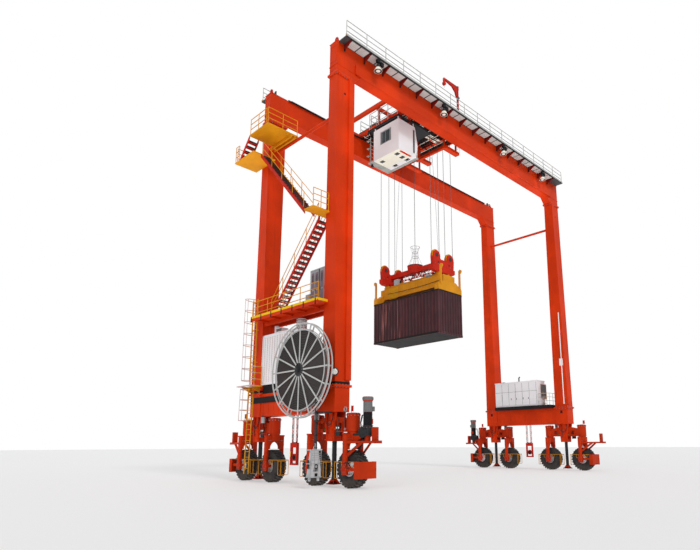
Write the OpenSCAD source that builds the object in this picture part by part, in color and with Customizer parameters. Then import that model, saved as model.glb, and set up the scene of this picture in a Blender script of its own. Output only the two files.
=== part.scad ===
// Rubber tyred gantry crane for a container yard, full size, in millimetres.
// X runs across the lane from left to right, Y along the travel direction with the near side
// negative, and Z up from the ground. Lengths inside the modules are measured from the middle
// of the crane, and the whole is then moved by centre_x so that its box stands on the origin.

/* [Portal frames] */
// Distance between the wheel lines across the lane
span = 23470; // [22000:10:26000]
// Distance between the near and the far portal frame
base = 6600; // [6400:10:7200]
// Height of the girders' top face above the ground
girder_top = 24090; // [23000:10:25500]
// Depth of a girder
girder_h = 1480; // [1400:10:1800]
// Width of a girder and of the legs' top along the travel direction
girder_w = 620; // [560:10:700]
// Height of the bolted joint between a leg and its girder
joint_z = 22080; // [21900:10:22200]
// Width of a leg across the lane at its top
leg_top_x = 1220; // [1100:10:1400]
// Width of a leg across the lane at its foot
leg_foot_x = 940; // [860:10:1000]
// Depth of a leg along the travel direction at its foot
leg_foot_y = 1030; // [900:10:1100]
// Thickness of the bolted flange plates between legs and girders
flange_t = 60; // [40:5:90]
// Distance that a flange plate stands out past the leg
flange_lip = 80; // [50:5:100]
// Outside diameter of the tie pipes between the two frames
tie_d = 190; // [150:10:240]
// Height of the tie pipes above the ground
tie_z = 20050; // [19500:10:20150]

/* [Sill beams] */
// Height of a sill beam's underside above the ground
sill_bottom = 3550; // [3540:10:3700]
// Depth of a sill beam
sill_h = 1270; // [1100:10:1400]
// Width of a sill beam across the lane
sill_w = 860; // [760:10:900]

/* [Bogies] */
// Distance between the two wheels of a bogie
wheel_step = 2740; // [2600:10:2800]
// Outside diameter of a tyre
tyre_d = 1750; // [1600:10:1780]
// Width of a tyre
tyre_w = 570; // [500:10:600]
// Diameter of a wheel's rim
rim_d = 640; // [600:10:700]
// Radius of a wheel's axle
axle_r = 70; // [50:1:90]
// Height of the balance beams' underside above the ground
beam_bottom = 2590; // [2560:5:2600]
// Depth of a balance beam at its pivot
beam_h = 640; // [560:10:680]
// Width of a balance beam
beam_w = 480; // [420:10:520]
// Diameter of the round beam ends that hold the steering pins
beam_end_d = 640; // [560:10:680]
// Height of the round beam ends
beam_end_h = 860; // [700:10:880]
// Radius of a balance beam's pivot pin
pivot_r = 90; // [70:1:110]
// Radius of a steering pin
steer_r = 110; // [80:1:130]
// Running clearance round pins and axles
run_gap = 0.05; // [0.02:0.01:0.1]
// Clearance between moving pieces that face each other
face_gap = 6; // [5:1:10]

/* [Trolley and hoist] */
// Place of the trolley's middle across the lane
trolley_x = -1700; // [-2000:10:2000]
// Place of the load's middle along the travel direction
load_y = 300; // [0:10:320]
// Length of the trolley frame from its middle to the cab's end
trolley_left = 4650; // [4600:10:4700]
// Length of the trolley frame from its middle to the other end
trolley_right = 2600; // [2400:10:2800]
// Height of the crane rails
rail_h = 130; // [100:5:160]
// Width of the crane rails
rail_w = 80; // [60:5:100]
// Diameter of a trolley wheel
trolley_wheel_d = 400; // [340:10:420]
// Distance of the hoist ropes' rows from the load's middle, along the travel direction
rope_row_y = 2400; // [2300:10:2420]
// Diameter of a hoist rope
rope_d = 26; // [20:1:32]
// Height of the load's underside above the ground
load_bottom = 8930; // [8900:10:9500]

/* [Load] */
// Length of the container
box_l = 6058; // [6058:1:6058]
// Width of the container
box_w = 2438; // [2438:1:2438]
// Height of the container
box_h = 2896; // [2438:1:2896]

/* [Cable reel] */
// Outside diameter of the cable reel
reel_d = 4740; // [4400:10:4900]
// Width of the reel between the outer faces of its rims
reel_w = 240; // [220:10:460]
// Distance of the reel's middle plane from the wheel line
reel_off = 1400; // [1360:10:1500]
// Place of the reel's axle along the travel direction
reel_y = -2270; // [-2400:10:-1600]
// Height of the reel's axle
reel_z = 5620; // [5500:10:5700]
// Number of spokes on each side
reel_spokes = 16; // [12:1:18]

/* [Stairs and platforms] */
// Height of the electrical platform's deck
platform_z = 9090; // [8800:10:9200]
// Height of the first stair landing
landing1_z = 14030; // [13600:10:14200]
// Height of the second stair landing
landing2_z = 19070; // [18800:10:19200]
// Height of the platform at the far girder's end
top_platform_z = 20300; // [20200:10:20400]
// Width of a stair flight
stair_w = 650; // [600:10:700]
// Height of a handrail above its deck
rail_height = 1000; // [900:10:1200]
// Width of the walkways on the girders
walkway_w = 640; // [600:10:800]

/* [Hidden] */
$fn = 32;

half_span = span / 2;
half_base = base / 2;
axle_z = tyre_d / 2;
girder_bottom = girder_top - girder_h;
girder_over = leg_top_x / 2;
leg_top = joint_z - flange_t;
walkway_z = girder_top;
sill_top = sill_bottom + sill_h;
rail_top = girder_top + rail_h;
reel_x = -half_span - reel_off;
stair3_off = 2100;
reach_left = half_span + stair3_off;
reach_right = half_span + girder_over + flange_lip;
centre_x = (reach_left - reach_right) / 2;
orange = "orangered";

// Half the width of a leg across the lane, and half its depth, at height z
function leg_half_x(z) = (leg_foot_x + (leg_top_x - leg_foot_x) * (z - sill_top) / (leg_top - sill_top))
    / 2;
function leg_half_y(z) = (leg_foot_y + (girder_w - leg_foot_y) * (z - sill_top) / (leg_top - sill_top))
    / 2;

// Distance from the crane's middle to a leg's inner face along the travel direction at height z
function leg_face_y(z) = half_base - leg_half_y(z);
handrail_r = 24;

// Gap left between pieces that rest on each other
seat = 0.3;

// A straight bar from point a to point b
module bar(a, b, r, n = 6) {
    d = b - a;
    l = norm(d);
    translate(a) rotate([0, acos(d[2] / l), atan2(d[1], d[0])]) cylinder(r = r, h = l, $fn = n);
}

// A block between two corners
module block(a, b) {
    translate(a) cube(b - a);
}

// A round bar along X through point p, l long and centred
module rod_x(p, r, l) {
    translate(p) rotate([0, 90, 0]) cylinder(r = r, h = l, center = true);
}

// Moves a child from the crane's middle to the frame of the part
module placed() {
    translate([centre_x, 0, 0]) children();
}

// A side is -1 for left or near and 1 for right or far
module at_corner(sx, sy) {
    translate([sx * half_span, sy * half_base, 0]) children();
}

module girder(sy) {
    x = half_span + girder_over;
    knee = 560;
    rim = 30;
    translate([0, sy * half_base, 0]) {
        block([-x, -girder_w / 2, girder_bottom], [x, girder_w / 2, girder_top]);
        for (sx = [-1, 1]) translate([sx * half_span, 0, joint_z]) {
            block([-leg_top_x / 2 - flange_lip, -girder_w / 2 - flange_lip, 0],
                  [leg_top_x / 2 + flange_lip, girder_w / 2 + flange_lip, flange_t]);
            block([-leg_top_x / 2, -girder_w / 2, flange_t],
                [leg_top_x / 2, girder_w / 2, girder_bottom - joint_z]);
            translate([-sx * leg_top_x / 2, 0, 0]) rotate([90, 0, 0])
                linear_extrude(girder_w, center = true)
                polygon([[0, girder_bottom - joint_z], [-sx * knee, girder_bottom - joint_z],
                    [-sx * 120, flange_t],
                         [0, flange_t]]);
            translate([sx * girder_over, 0, girder_bottom - joint_z]) for (z = [0, girder_h - rim])
                block([-rim, -girder_w / 2 - rim, z], [rim, girder_w / 2 + rim, z + rim]);
        }
    }
}

module near_girder() {
    color(orange) girder(-1);
}

module far_girder() {
    color(orange) girder(1);
}

// A tapered box leg made from two profiles that cross
module leg(sx, sy) {
    h = leg_top - sill_top;
    at_corner(sx, sy) translate([0, 0, sill_top]) {
        intersection() {
            rotate([90, 0, 0]) linear_extrude(leg_foot_y * 1.2, center = true)
                polygon([[-leg_foot_x / 2, 0], [leg_foot_x / 2, 0], [leg_top_x / 2, h],
                    [-leg_top_x / 2, h]]);
            rotate([90, 0, 90]) linear_extrude(leg_top_x * 1.2, center = true)
                polygon([[-leg_foot_y / 2, 0], [leg_foot_y / 2, 0], [girder_w / 2, h],
                    [-girder_w / 2, h]]);
        }
        block([-leg_top_x / 2 - flange_lip, -girder_w / 2 - flange_lip, h],
              [leg_top_x / 2 + flange_lip, girder_w / 2 + flange_lip, h + flange_t]);
        block([-leg_foot_x / 2 - flange_lip, -leg_foot_y / 2 - flange_lip, 0],
              [leg_foot_x / 2 + flange_lip, leg_foot_y / 2 + flange_lip, flange_t]);
    }
}

module near_legs() {
    color(orange) for (sx = [-1, 1]) leg(sx, -1);
}

module far_legs() {
    color(orange) for (sx = [-1, 1]) leg(sx, 1);
}

module sill_beams() {
    y = half_base + leg_foot_y / 2;
    color(orange) for (sx = [-1, 1]) translate([sx * half_span, 0, 0]) difference() {
        union() {
            block([-sill_w / 2, -y, sill_bottom], [sill_w / 2, y, sill_top]);
            for (sy = [-1, 1]) translate([0, sy * half_base, 0]) {
                block([-leg_foot_x / 2, -leg_foot_y / 2, sill_bottom],
                    [leg_foot_x / 2, leg_foot_y / 2, sill_top]);
                block([-leg_foot_x / 2 - flange_lip, -leg_foot_y / 2 - flange_lip, sill_top - flange_t],
                      [leg_foot_x / 2 + flange_lip, leg_foot_y / 2 + flange_lip, sill_top]);
            }
        }
        for (sy = [-1, 1]) translate([0, sy * half_base, sill_top - 320])
            cube([leg_foot_x * 2, 150, 150], center = true);
    }
}

cheek_t = 60;
cheek_x = beam_w / 2 + face_gap;
pivot_z = beam_bottom + beam_h / 2 + 60;
cheek_bottom = 2150;

// The bracket below a leg's foot, its pivot pin and its support post
module leg_bracket() {
    foot_z = 130;
    for (s = [-1, 1]) {
        translate([s * (cheek_x + cheek_t / 2), 0, 0]) rotate([90, 0, 90])
            linear_extrude(cheek_t, center = true)
            polygon([[-450, sill_bottom], [450, sill_bottom], [330, 2800], [280, cheek_bottom],
                [-280, cheek_bottom],
                     [-330, 2800]]);
        for (y = [-220, 220]) translate([s * (cheek_x + cheek_t), y, 0]) rotate([90, 0, 0])
            linear_extrude(30, center = true) polygon([[0, cheek_bottom], [0, sill_bottom],
                [s * 90, sill_bottom],
                                                       [s * 90, 3250], [s * 30, cheek_bottom]]);
        rod_x([s * (cheek_x + cheek_t + 20), 0, pivot_z], pivot_r + 50, 40);
    }
    block([-cheek_x - cheek_t, -250, cheek_bottom], [cheek_x + cheek_t, 250, cheek_bottom + 260]);
    rod_x([0, 0, pivot_z], pivot_r, 2 * (cheek_x + cheek_t) + 80);
    translate([0, 0, 300]) cylinder(r = 110, h = cheek_bottom - 300);
    translate([0, 0, foot_z]) cylinder(r = 80, h = 180);
    translate([-260, -260, foot_z]) cube([520, 520, 45]);
    for (a = [45, 135]) translate([0, 0, foot_z + 45]) rotate([90, 0, a])
        linear_extrude(25, center = true)
        polygon([[-300, 0], [300, 0], [100, 260], [-100, 260]]);
}

module leg_brackets() {
    color(orange) for (sx = [-1, 1], sy = [-1, 1]) at_corner(sx, sy) leg_bracket();
}

module tie_pipes() {
    y = leg_face_y(tie_z - tie_d / 2);
    color(orange) for (sx = [-1, 1]) translate([sx * half_span, 0, tie_z]) rotate([90, 0, 0])
        cylinder(d = tie_d, h = 2 * y, center = true);
}

duct_w = 360;
duct_h = 580;
duct_t = 110;

// The cover of the cable run on a near leg, along the leg's inner edge
module leg_duct(sx) {
    z0 = sill_top + 280;
    z1 = leg_top - 20;
    translate([sx * half_span, -half_base, 0]) intersection() {
        rotate([90, 0, 0]) linear_extrude(leg_foot_y * 2, center = true)
            polygon([[-sx * leg_half_x(z0), z0], [-sx * leg_half_x(z1), z1],
                [sx * (duct_w - leg_half_x(z1)), z1],
                     [sx * (duct_w - leg_half_x(z0)), z0]]);
        rotate([90, 0, 90]) linear_extrude(leg_top_x * 1.2, center = true)
            polygon([[-leg_half_y(z0) - duct_t, z0], [-leg_half_y(z0) - seat, z0],
                [-leg_half_y(z1) - seat, z1],
                     [-leg_half_y(z1) - duct_t, z1]]);
    }
}

module cable_ducts() {
    x = half_span - leg_top_x / 2 - flange_lip - 20;
    y = half_base + girder_w / 2;
    color(orange) {
        block([-x, -y - duct_t, girder_bottom], [x, -y, girder_bottom + duct_h]);
        for (sx = [-1, 1]) leg_duct(sx);
    }
}

module crane_rails() {
    stop = half_span + 60;
    color("dimgray") for (sy = [-1, 1]) translate([0, sy * half_base, girder_top]) {
        block([-stop, -rail_w / 2, 0], [stop, rail_w / 2, rail_h]);
        for (sx = [-1, 1]) translate([sx * stop, 0, 0]) rotate([90, 0, 0])
            linear_extrude(160, center = true)
            polygon([[0, 0], [sx * 180, 0], [sx * 60, 460], [0, 460]]);
    }
}

lug_r = 60;
lug_t = 60;

module lifting_lug() {
    translate([0, 0, girder_top]) rotate([90, 0, 90]) linear_extrude(lug_t, center = true) difference() {
        union() {
            polygon([[-240, 0], [240, 0], [130, 330], [-130, 330]]);
            translate([0, 330]) circle(130);
        }
        translate([0, 330]) circle(lug_r);
    }
    for (y = [-160, 160]) translate([0, y - 15, girder_top]) block([-120, 0, 0], [120, 30, 160]);
}

module lifting_lugs() {
    color(orange) for (sx = [-1, 1], sy = [-1, 1])
        translate([sx * (half_span + 400), sy * half_base, 0]) lifting_lug();
}

walk_x = half_span + 500;

module walkway(sy) {
    y0 = half_base + girder_w / 2;
    t = 50;
    mirror([0, sy < 0 ? 1 : 0, 0]) {
        block([-walk_x, y0, walkway_z - t], [walk_x, y0 + walkway_w, walkway_z]);
        block([-walk_x, y0 + walkway_w, walkway_z - 60], [walk_x, y0 + walkway_w + 20, walkway_z + 100]);
        for (x = [-walk_x + 400 : 1500 : walk_x - 300]) translate([x, y0, walkway_z - t])
            rotate([90, 0, 90])
            linear_extrude(40, center = true) polygon([[0, 0], [walkway_w, 0], [walkway_w, -60],
                [0, -380]]);
    }
}

module walkway_decks() {
    color("darkgray") for (sy = [-1, 1]) walkway(sy);
}

// Posts and three rails along X between two points at one height
module railing(a, b, step = 1500, high = rail_height) {
    l = norm(b - a);
    n = max(1, round(l / step));
    for (i = [0 : n]) bar(a + (b - a) * i / n, a + (b - a) * i / n + [0, 0, high], handrail_r);
    for (k = [1 : 3]) bar(a + [0, 0, high * k / 3], b + [0, 0, high * k / 3], handrail_r);
}

module walkway_railings() {
    y = half_base + girder_w / 2 + walkway_w - 40;
    color("lightgray") for (sy = [-1, 1])
        railing([-walk_x + 50, sy * y, walkway_z], [walk_x - 50, sy * y, walkway_z]);
}

module floodlights() {
    y = half_base + girder_w / 2 + walkway_w - 110;
    color("dimgray") for (sy = [-1, 1], x = [-9700, -3700, 3300, 9000])
        translate([x, sy * y, walkway_z - 50]) {
        translate([0, 0, -520]) cylinder(r = 35, h = 520);
        translate([0, 0, -560]) cylinder(r = 110, h = 190);
        translate([0, 0, -780]) cylinder(r1 = 230, r2 = 120, h = 220);
    }
}

davit_x = -2100;
davit_y = -half_base - girder_w / 2 - walkway_w + 160;
davit_top = 25900;

module davit_post() {
    color("firebrick") translate([davit_x, davit_y, walkway_z]) {
        cylinder(r = 75, h = davit_top - walkway_z);
        translate([-150, -110, 0]) cube([300, 260, 30]);
        for (a = [0, 180]) rotate([90, 0, a]) linear_extrude(20, center = true)
            polygon([[60, 30], [145, 30], [75, 260], [60, 260]]);
    }
}

module davit_jib() {
    arm = 1500;
    color("firebrick") translate([davit_x, davit_y, davit_top + 0.3]) {
        cylinder(r = 95, h = 260);
        rotate([90, 0, 0]) linear_extrude(100, center = true)
            polygon([[0, 20], [-110, 20], [-110, -620], [-160, -620], [-300, -260], [-620, -20],
                [-arm, 90],
                     [-arm, 200], [0, 240]]);
        block([-arm, -60, -120], [-arm + 120, 60, 100]);
        translate([-arm + 60, 0, -220]) rotate([90, 0, 0]) cylinder(r = 120, h = 160, center = true);
    }
}

plat_x0 = -half_span - 1170;
plat_x1 = -half_span + 900;
plat_beam_h = 260;
plat_t = 60;
plat_y = leg_face_y(platform_z - plat_t - plat_beam_h);

module electrical_platform() {
    x1 = -half_span - leg_half_x(platform_z) - 15;
    color("goldenrod") {
        block([plat_x0, -plat_y, platform_z - plat_t], [plat_x1, plat_y, platform_z]);
        block([plat_x0, -half_base + 150, platform_z - plat_t], [x1, half_base - 200, platform_z]);
        block([plat_x0, -half_base + 150, platform_z - plat_t - 90],
            [plat_x0 + 50, half_base - 200, platform_z + 60]);
        for (x = [-half_span - 350, -half_span + 350])
            block([x - 75, -plat_y, platform_z - plat_t - plat_beam_h],
                [x + 75, plat_y, platform_z - plat_t]);
        for (y = [-2400 : 1200 : 2400]) block([plat_x0 + 50, y - 30, platform_z - plat_t - 120],
                                              [plat_x1 - 50, y + 30, platform_z - plat_t]);
    }
}

module electrical_cabinets() {
    color("silver") {
        for (y = [-2790, -2010]) translate([-half_span - 200, y, platform_z]) {
            block([0, 0, 0], [900, 740, 2080]);
            block([-20, 40, 80], [0, 350, 2000]);
            block([-20, 390, 80], [0, 700, 2000]);
            block([-30, -15, 2080], [930, 755, 2150]);
        }
        translate([-half_span - 150, -1180, platform_z]) block([0, 0, 0], [700, 420, 900]);
    }
}

module transformer_cabinet() {
    base_top = sill_top + 500;
    top = base_top + 2830;
    x0 = -half_span - 500;
    x1 = -half_span + 400;
    middle = (x0 + x1) / 2;
    color("whitesmoke") {
        block([x0 + 100, -640, sill_top], [x1 - 20, 2660, base_top]);
        block([x0, -700, base_top], [x1, 2700, top - 60]);
        block([x0 - 30, -730, top - 60], [x1 + 30, 2730, top]);
        for (y = [-640 : 240 : 2500]) block([x0 - 40, y, base_top + 120], [x0, y + 120, top - 160]);
        translate([middle, 2050, top]) cylinder(r = 130, h = 560);
        block([middle - 225, 1250, top], [middle + 225, 1750, top + 350]);
        translate([middle, -350, top]) {
            cylinder(r = 230, h = 595);
            for (z = [0 : 100 : 500]) translate([0, 0, z]) cylinder(r = 285, h = 55);
        }
    }
}

// One flight of stairs along Y, its outer edge at x0. It starts on a deck or at a deck's edge.
module flight(x0, y0, z0, y1, z1, on_deck) {
    n = round((z1 - z0) / 230);
    slope = (z1 - z0) / (y1 - y0);
    depth = 240;
    tread = [stair_w, 180, 40];
    foot = on_deck ? [[y0, z0], [y0 + depth / slope, z0]] : [[y0, z0], [y0, z0 - depth]];
    for (x = [x0, x0 + stair_w - 40]) translate([x, 0, 0]) rotate([90, 0, 90])
        linear_extrude(40) polygon(concat([[y1, z1 - depth], [y1, z1]], foot));
    for (i = [1 : n - 1])
        translate([x0, y0 + (y1 - y0) * i / n - tread[1] / 2, z0 + (z1 - z0) * i / n - (depth + tread[2])
            / 2])
            cube(tread);
}

stair1_x = -half_span - 620;
stair2_x = -half_span - 1600;
stair3_x = -half_span - stair3_off;

landing1_y = -2440;
landing2_y = 2170;
top_platform_y = 2730;
landing_t = 80;

module stair_flights() {
    color("firebrick") {
        flight(stair1_x, 2000, platform_z + seat, landing1_y + seat, landing1_z, true);
        flight(stair2_x, landing1_y + seat, landing1_z, landing2_y - seat, landing2_z, false);
        flight(stair3_x, top_platform_y + 1050, landing2_z + seat, top_platform_y + seat, top_platform_z,
            true);
    }
}

module stair_landings() {
    z1 = landing1_z - landing_t;
    z2 = landing2_z - landing_t;
    z3 = top_platform_z - landing_t;
    side = -half_span - leg_half_x(landing1_z) - 15;
    color("goldenrod") {
        block([stair2_x - 40, -half_base + 100, z1], [side, landing1_y, landing1_z]);
        block([side - 10, -leg_face_y(z1), z1], [-half_span + 100, landing1_y, landing1_z]);
        block([stair3_x, landing2_y, z2], [-half_span - leg_half_x(landing2_z), 4300, landing2_z]);
        block([stair3_x, 750, z3], [-half_span + 30, top_platform_y, top_platform_z]);
        for (x = [-450, -185]) translate([-half_span + x, 0, 0])
            block([-50, 750, z3 - 160], [50, leg_face_y(z3 - 160), z3]);
    }
}

module stair_railings() {
    near_y = -half_base + 140;
    x1 = -half_span + 60;
    color("gold") {
        railing([stair2_x, near_y, landing1_z], [stair2_x + 1000, near_y, landing1_z], 500);
        railing([plat_x0 + 90, -half_base + 190, platform_z],
            [plat_x0 + 90, half_base - 240, platform_z]);
        railing([stair3_x + 30, 780, top_platform_z], [x1 - 90, 780, top_platform_z], 1050);
        railing([stair3_x + 30, 930, top_platform_z],
            [stair3_x + 30, top_platform_y - 60, top_platform_z], 850);
        railing([stair3_x + 30, top_platform_y + 1150, landing2_z], [stair3_x + 30, 4260, landing2_z],
            400);
        railing([stair3_x + 140, 4260, landing2_z], [-half_span - 720, 4260, landing2_z], 450);
        for (s = [[stair1_x, 2000, platform_z, landing1_y, landing1_z],
                  [stair2_x, landing1_y, landing1_z, landing2_y, landing2_z]])
                      for (dx = [20, stair_w - 20])
            stair_rail([s[0] + dx, s[1], s[2]], [s[0] + dx, s[3], s[4]]);
    }
}

// A handrail beside a flight of stairs, standing on its stringer
module stair_rail(a, b) {
    n = 4;
    d = (b - a) * 0.94;
    o = a + (b - a) * 0.03;
    up = [0, 0, rail_height - 100];
    for (i = [0 : n]) bar(o + d * i / n + [0, 0, 20], o + d * i / n + up, 20);
    for (k = [0.5, 1]) bar(o + up * k, o + d + up * k, 20);
}

ladder_half = 225;
ladder_deck = sill_top + 450;

// The rails and rungs of a ladder from point a up to point b, its rungs along Y
module ladder(a, b, rail, step) {
    n = round((b[2] - a[2]) / step);
    for (s = [-1, 1]) bar(a + [0, s * ladder_half, 0], b + [0, s * ladder_half, 0], rail, 4);
    for (i = [1 : n - 1]) bar(a + (b - a) * i / n - [0, ladder_half, 0], a + (b - a)
        * i / n + [0, ladder_half, 0], 15);
}

// Hoops and straps round the climber on a ladder's open side, between the points a and b on it
module cage(a, b, n) {
    half = 300;
    out = 680;
    hoop = [for (t = [0 : 30 : 180]) [-out * sin(t), half * cos(t), 0]];
    for (k = [0 : n]) translate(a + (b - a) * k / n) {
        for (i = [0 : 5]) bar(hoop[i], hoop[i + 1], 18, 4);
        for (s = [-1, 1]) bar([0, s * half, 0], [0, s * ladder_half, 0], 15, 4);
    }
    for (i = [0, 2, 4, 6]) bar(a + hoop[i], b + hoop[i], 15, 4);
}

module ladders() {
    t = 50;
    x0 = -13100;
    x1 = -12330;
    wall = -half_span - leg_half_x(ladder_deck) - seat;
    foot = [-12600, 3270, 430];
    head = [-12450, 3420, ladder_deck];
    up = [-12390, 3480, ladder_deck - 10];
    top = up + [0, 0, 5200];
    color("gold") {
        difference() {
            block([x0, 2450, ladder_deck - t], [x1, 3900, ladder_deck]);
            block([x0 + 100, 3050, ladder_deck - t - 10], [-12440, 3700, ladder_deck + 10]);
        }
        block([x1 - 10, 2800, ladder_deck - t], [wall, 3800, ladder_deck]);
        for (y = [2900, 3790]) translate([0, y, ladder_deck - t + 5]) rotate([90, 0, 0])
            linear_extrude(20, center = true)
            polygon([[wall, 0], [x0 + 200, 0], [wall, -320]]);
        ladder(foot, head, 32, 300);
        cage(foot + (head - foot) * 0.6, foot + (head - foot) * 0.96, 3);
        ladder(up, top, 32, 300);
        cage(up + [0, 0, 330], top - [0, 0, 100], 7);
        for (z = [1400, 3300, 5000], s = [-1, 1]) translate([up[0], up[1] + s * ladder_half,
            ladder_deck + z])
            block([0, -25, 0], [-half_span - leg_half_x(ladder_deck + z + 50) - seat - up[0], 25, 50]);
        railing([x0 + 40, 2490, ladder_deck - 10], [x1 - 70, 2490, ladder_deck - 10], 700, 1060);
    }
}

module reel_stand() {
    side = -half_span - sill_w / 2;
    end = reel_x - reel_w / 2 - 60;
    boss = reel_x + reel_w / 2 + 40;
    color("dimgray") {
        block([side - 500, reel_y - 300, sill_top - 900], [side, reel_y + 300, sill_top - flange_t]);
        block([side - 450, reel_y - 200, sill_top - flange_t], [side - 150, reel_y + 200, reel_z + 350]);
        rod_x([(end + side - 250) / 2, reel_y, reel_z], axle_r, side - 250 - end);
        rod_x([(boss + side - 420) / 2, reel_y, reel_z], 240, side - 420 - boss);
        translate([side - 300, reel_y, reel_z + 350]) cylinder(r = 170, h = 420);
    }
}

module cable_reel() {
    rim = 60;
    side = 40;
    color("lightgray") translate([reel_x, reel_y, reel_z]) rotate([0, 90, 0]) {
        rotate_extrude() translate([axle_r + run_gap, -reel_w / 2])
            square([260 - axle_r - run_gap, reel_w]);
        for (s = [-1, 1]) translate([0, 0, s * (reel_w - side) / 2]) {
            rotate_extrude() translate([reel_d / 2 - rim, -side / 2]) square([rim, side]);
            for (i = [0 : reel_spokes - 1]) rotate(360 / reel_spokes * i)
                translate([200, -35, -side / 2 + 5]) cube([reel_d / 2 - 230, 70, side - 10]);
            rotate_extrude() translate([reel_d * 0.42, -side / 2 + 10]) square([40, side - 20]);
        }
    }
}

module reel_cable() {
    w = reel_w - 80;
    color("black") translate([reel_x, reel_y, reel_z]) rotate([0, 90, 0]) difference() {
        cylinder(d = reel_d * 0.83, h = w, center = true, $fn = 96);
        cylinder(r = 260, h = w + 10, center = true);
    }
}

module cable_guide() {
    y = -3540;
    z0 = 510;
    r = reel_d * 0.415 + 30;
    strut_z = sill_bottom - 70;
    color("lightgray") {
        translate([reel_x, y, z0]) rotate([90, 0, 0]) linear_extrude(300, center = true) difference() {
            polygon([[-330, 0], [330, 0], [300, 120], [150, 1160], [130, 1260], [-130, 1260],
                [-150, 1160], [-300, 120]]);
            polygon([[-150, 260], [150, 260], [110, 480], [-110, 480]]);
        }
        for (s = [-1, 1]) translate([reel_x + s * 250, y, z0 - 160]) cylinder(r = 60, h = 200);
        translate([reel_x, y, z0 + 1200]) cylinder(r = 24,
            h = reel_z - z0 - 1200 - sqrt(r * r - pow(y - reel_y, 2)));
        block([reel_x + 70, y - 30, z0 + 1200], [reel_x + 130, y + 30, strut_z + 10]);
        block([reel_x + 70, y - 40, strut_z], [-half_span - sill_w / 2 + 15, y + 40, sill_bottom - seat]);
    }
}

generator_z = 5080;

module generator_base() {
    x0 = half_span - 1000;
    color("dimgray") {
        block([x0, -2640, sill_top], [half_span + 450, 2600, generator_z - 160]);
        for (x = [x0, half_span + 370]) block([x, -2640, generator_z - 160], [x + 80, 2600, generator_z]);
        for (y = [-2640, -1500, 0, 1400, 2520])
            block([x0, y, generator_z - 160], [half_span + 450, y + 80, generator_z]);
    }
}

module generator_house() {
    x0 = half_span - 900;
    y0 = -1500;
    y1 = 2540;
    h = 2060;
    n = 6;
    w = (y1 - y0 - 100) / n;
    color("whitesmoke") translate([0, 0, generator_z]) difference() {
        union() {
            block([x0, y0, 0], [half_span + 350, y1, h - 50]);
            block([x0 - 40, y0 - 40, h - 50], [half_span + 390, y1 + 40, h]);
            for (i = [0 : n - 1]) block([x0 - 20, y0 + 70 + i * w, 90],
                [x0, y0 + 30 + (i + 1) * w, 1250]);
            for (i = [0 : 1]) block([x0 - 20, y0 + 70 + 3 * i * w, 1330],
                [x0, y0 + 30 + 3 * (i + 1) * w, h - 120]);
        }
        for (z = [500 : 120 : 1500]) block([x0 + 250, y0 - 10, z], [half_span, y0 + 40, z + 60]);
    }
}

module cable_trays() {
    color("black") translate([-half_span, 0, sill_top])
        block([-sill_w / 2 + 20, -2680, 0], [-sill_w / 2 + 220, -900, 60]);
}

module storm_anchors() {
    color("firebrick") for (sx = [-1, 1]) translate([sx * half_span, 0, 0]) {
        for (y = [-230, -130, 130, 230]) translate([0, y, 2050]) cylinder(r = 20, h = sill_bottom - 2050);
        difference() {
            block([-70, -300, 950], [70, 300, 2100]);
            block([-80, -210, 1050], [80, 210, 1850]);
        }
        rod_x([0, 0, 1350], 190, 60);
        block([-30, -250, 1320], [30, 250, 1380]);
    }
}

// The balance beam of one bogie, with the bores of its pivot and its steering pins
module balance_beam() {
    l = wheel_step / 2;
    w = beam_w / 2;
    difference() {
        union() {
            rotate([90, 0, 90]) linear_extrude(beam_w, center = true)
                polygon([[-l, beam_bottom], [l, beam_bottom], [l, beam_bottom + 520],
                    [520, beam_bottom + beam_h + 60],
                         [-520, beam_bottom + beam_h + 60], [-l, beam_bottom + 520]]);
            for (s = [-1, 1]) {
                translate([0, s * l, beam_bottom]) cylinder(d = beam_end_d, h = beam_end_h);
                translate([0, s * l, beam_bottom + beam_end_h - 90])
                    cylinder(d = beam_end_d + 50, h = 40);
                for (y = [560, 880]) block([-w - 60, s * y - 15, beam_bottom],
                    [w + 60, s * y + 15, beam_bottom + 480]);
                block([-w - 60, min(s * 480, s * (l - 250)), beam_bottom],
                      [w + 60, max(s * 480, s * (l - 250)), beam_bottom + 40]);
            }
        }
        rod_x([0, 0, pivot_z], pivot_r + run_gap, beam_w * 2);
        for (s = [-1, 1]) {
            translate([0, s * l, beam_bottom - 10]) cylinder(r = steer_r + run_gap, h = beam_end_h - 150);
            translate([0, s * 720, beam_bottom + 290]) cube([beam_w * 2, 240, 260], center = true);
        }
    }
}

module bogie_beam(sx, sy) {
    color(orange) at_corner(sx, sy) balance_beam();
}

fork_top = beam_bottom - face_gap;
fork_x = tyre_w / 2 + 200;
arch_z = tyre_d + 80;
bearing_w = 180;

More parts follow.
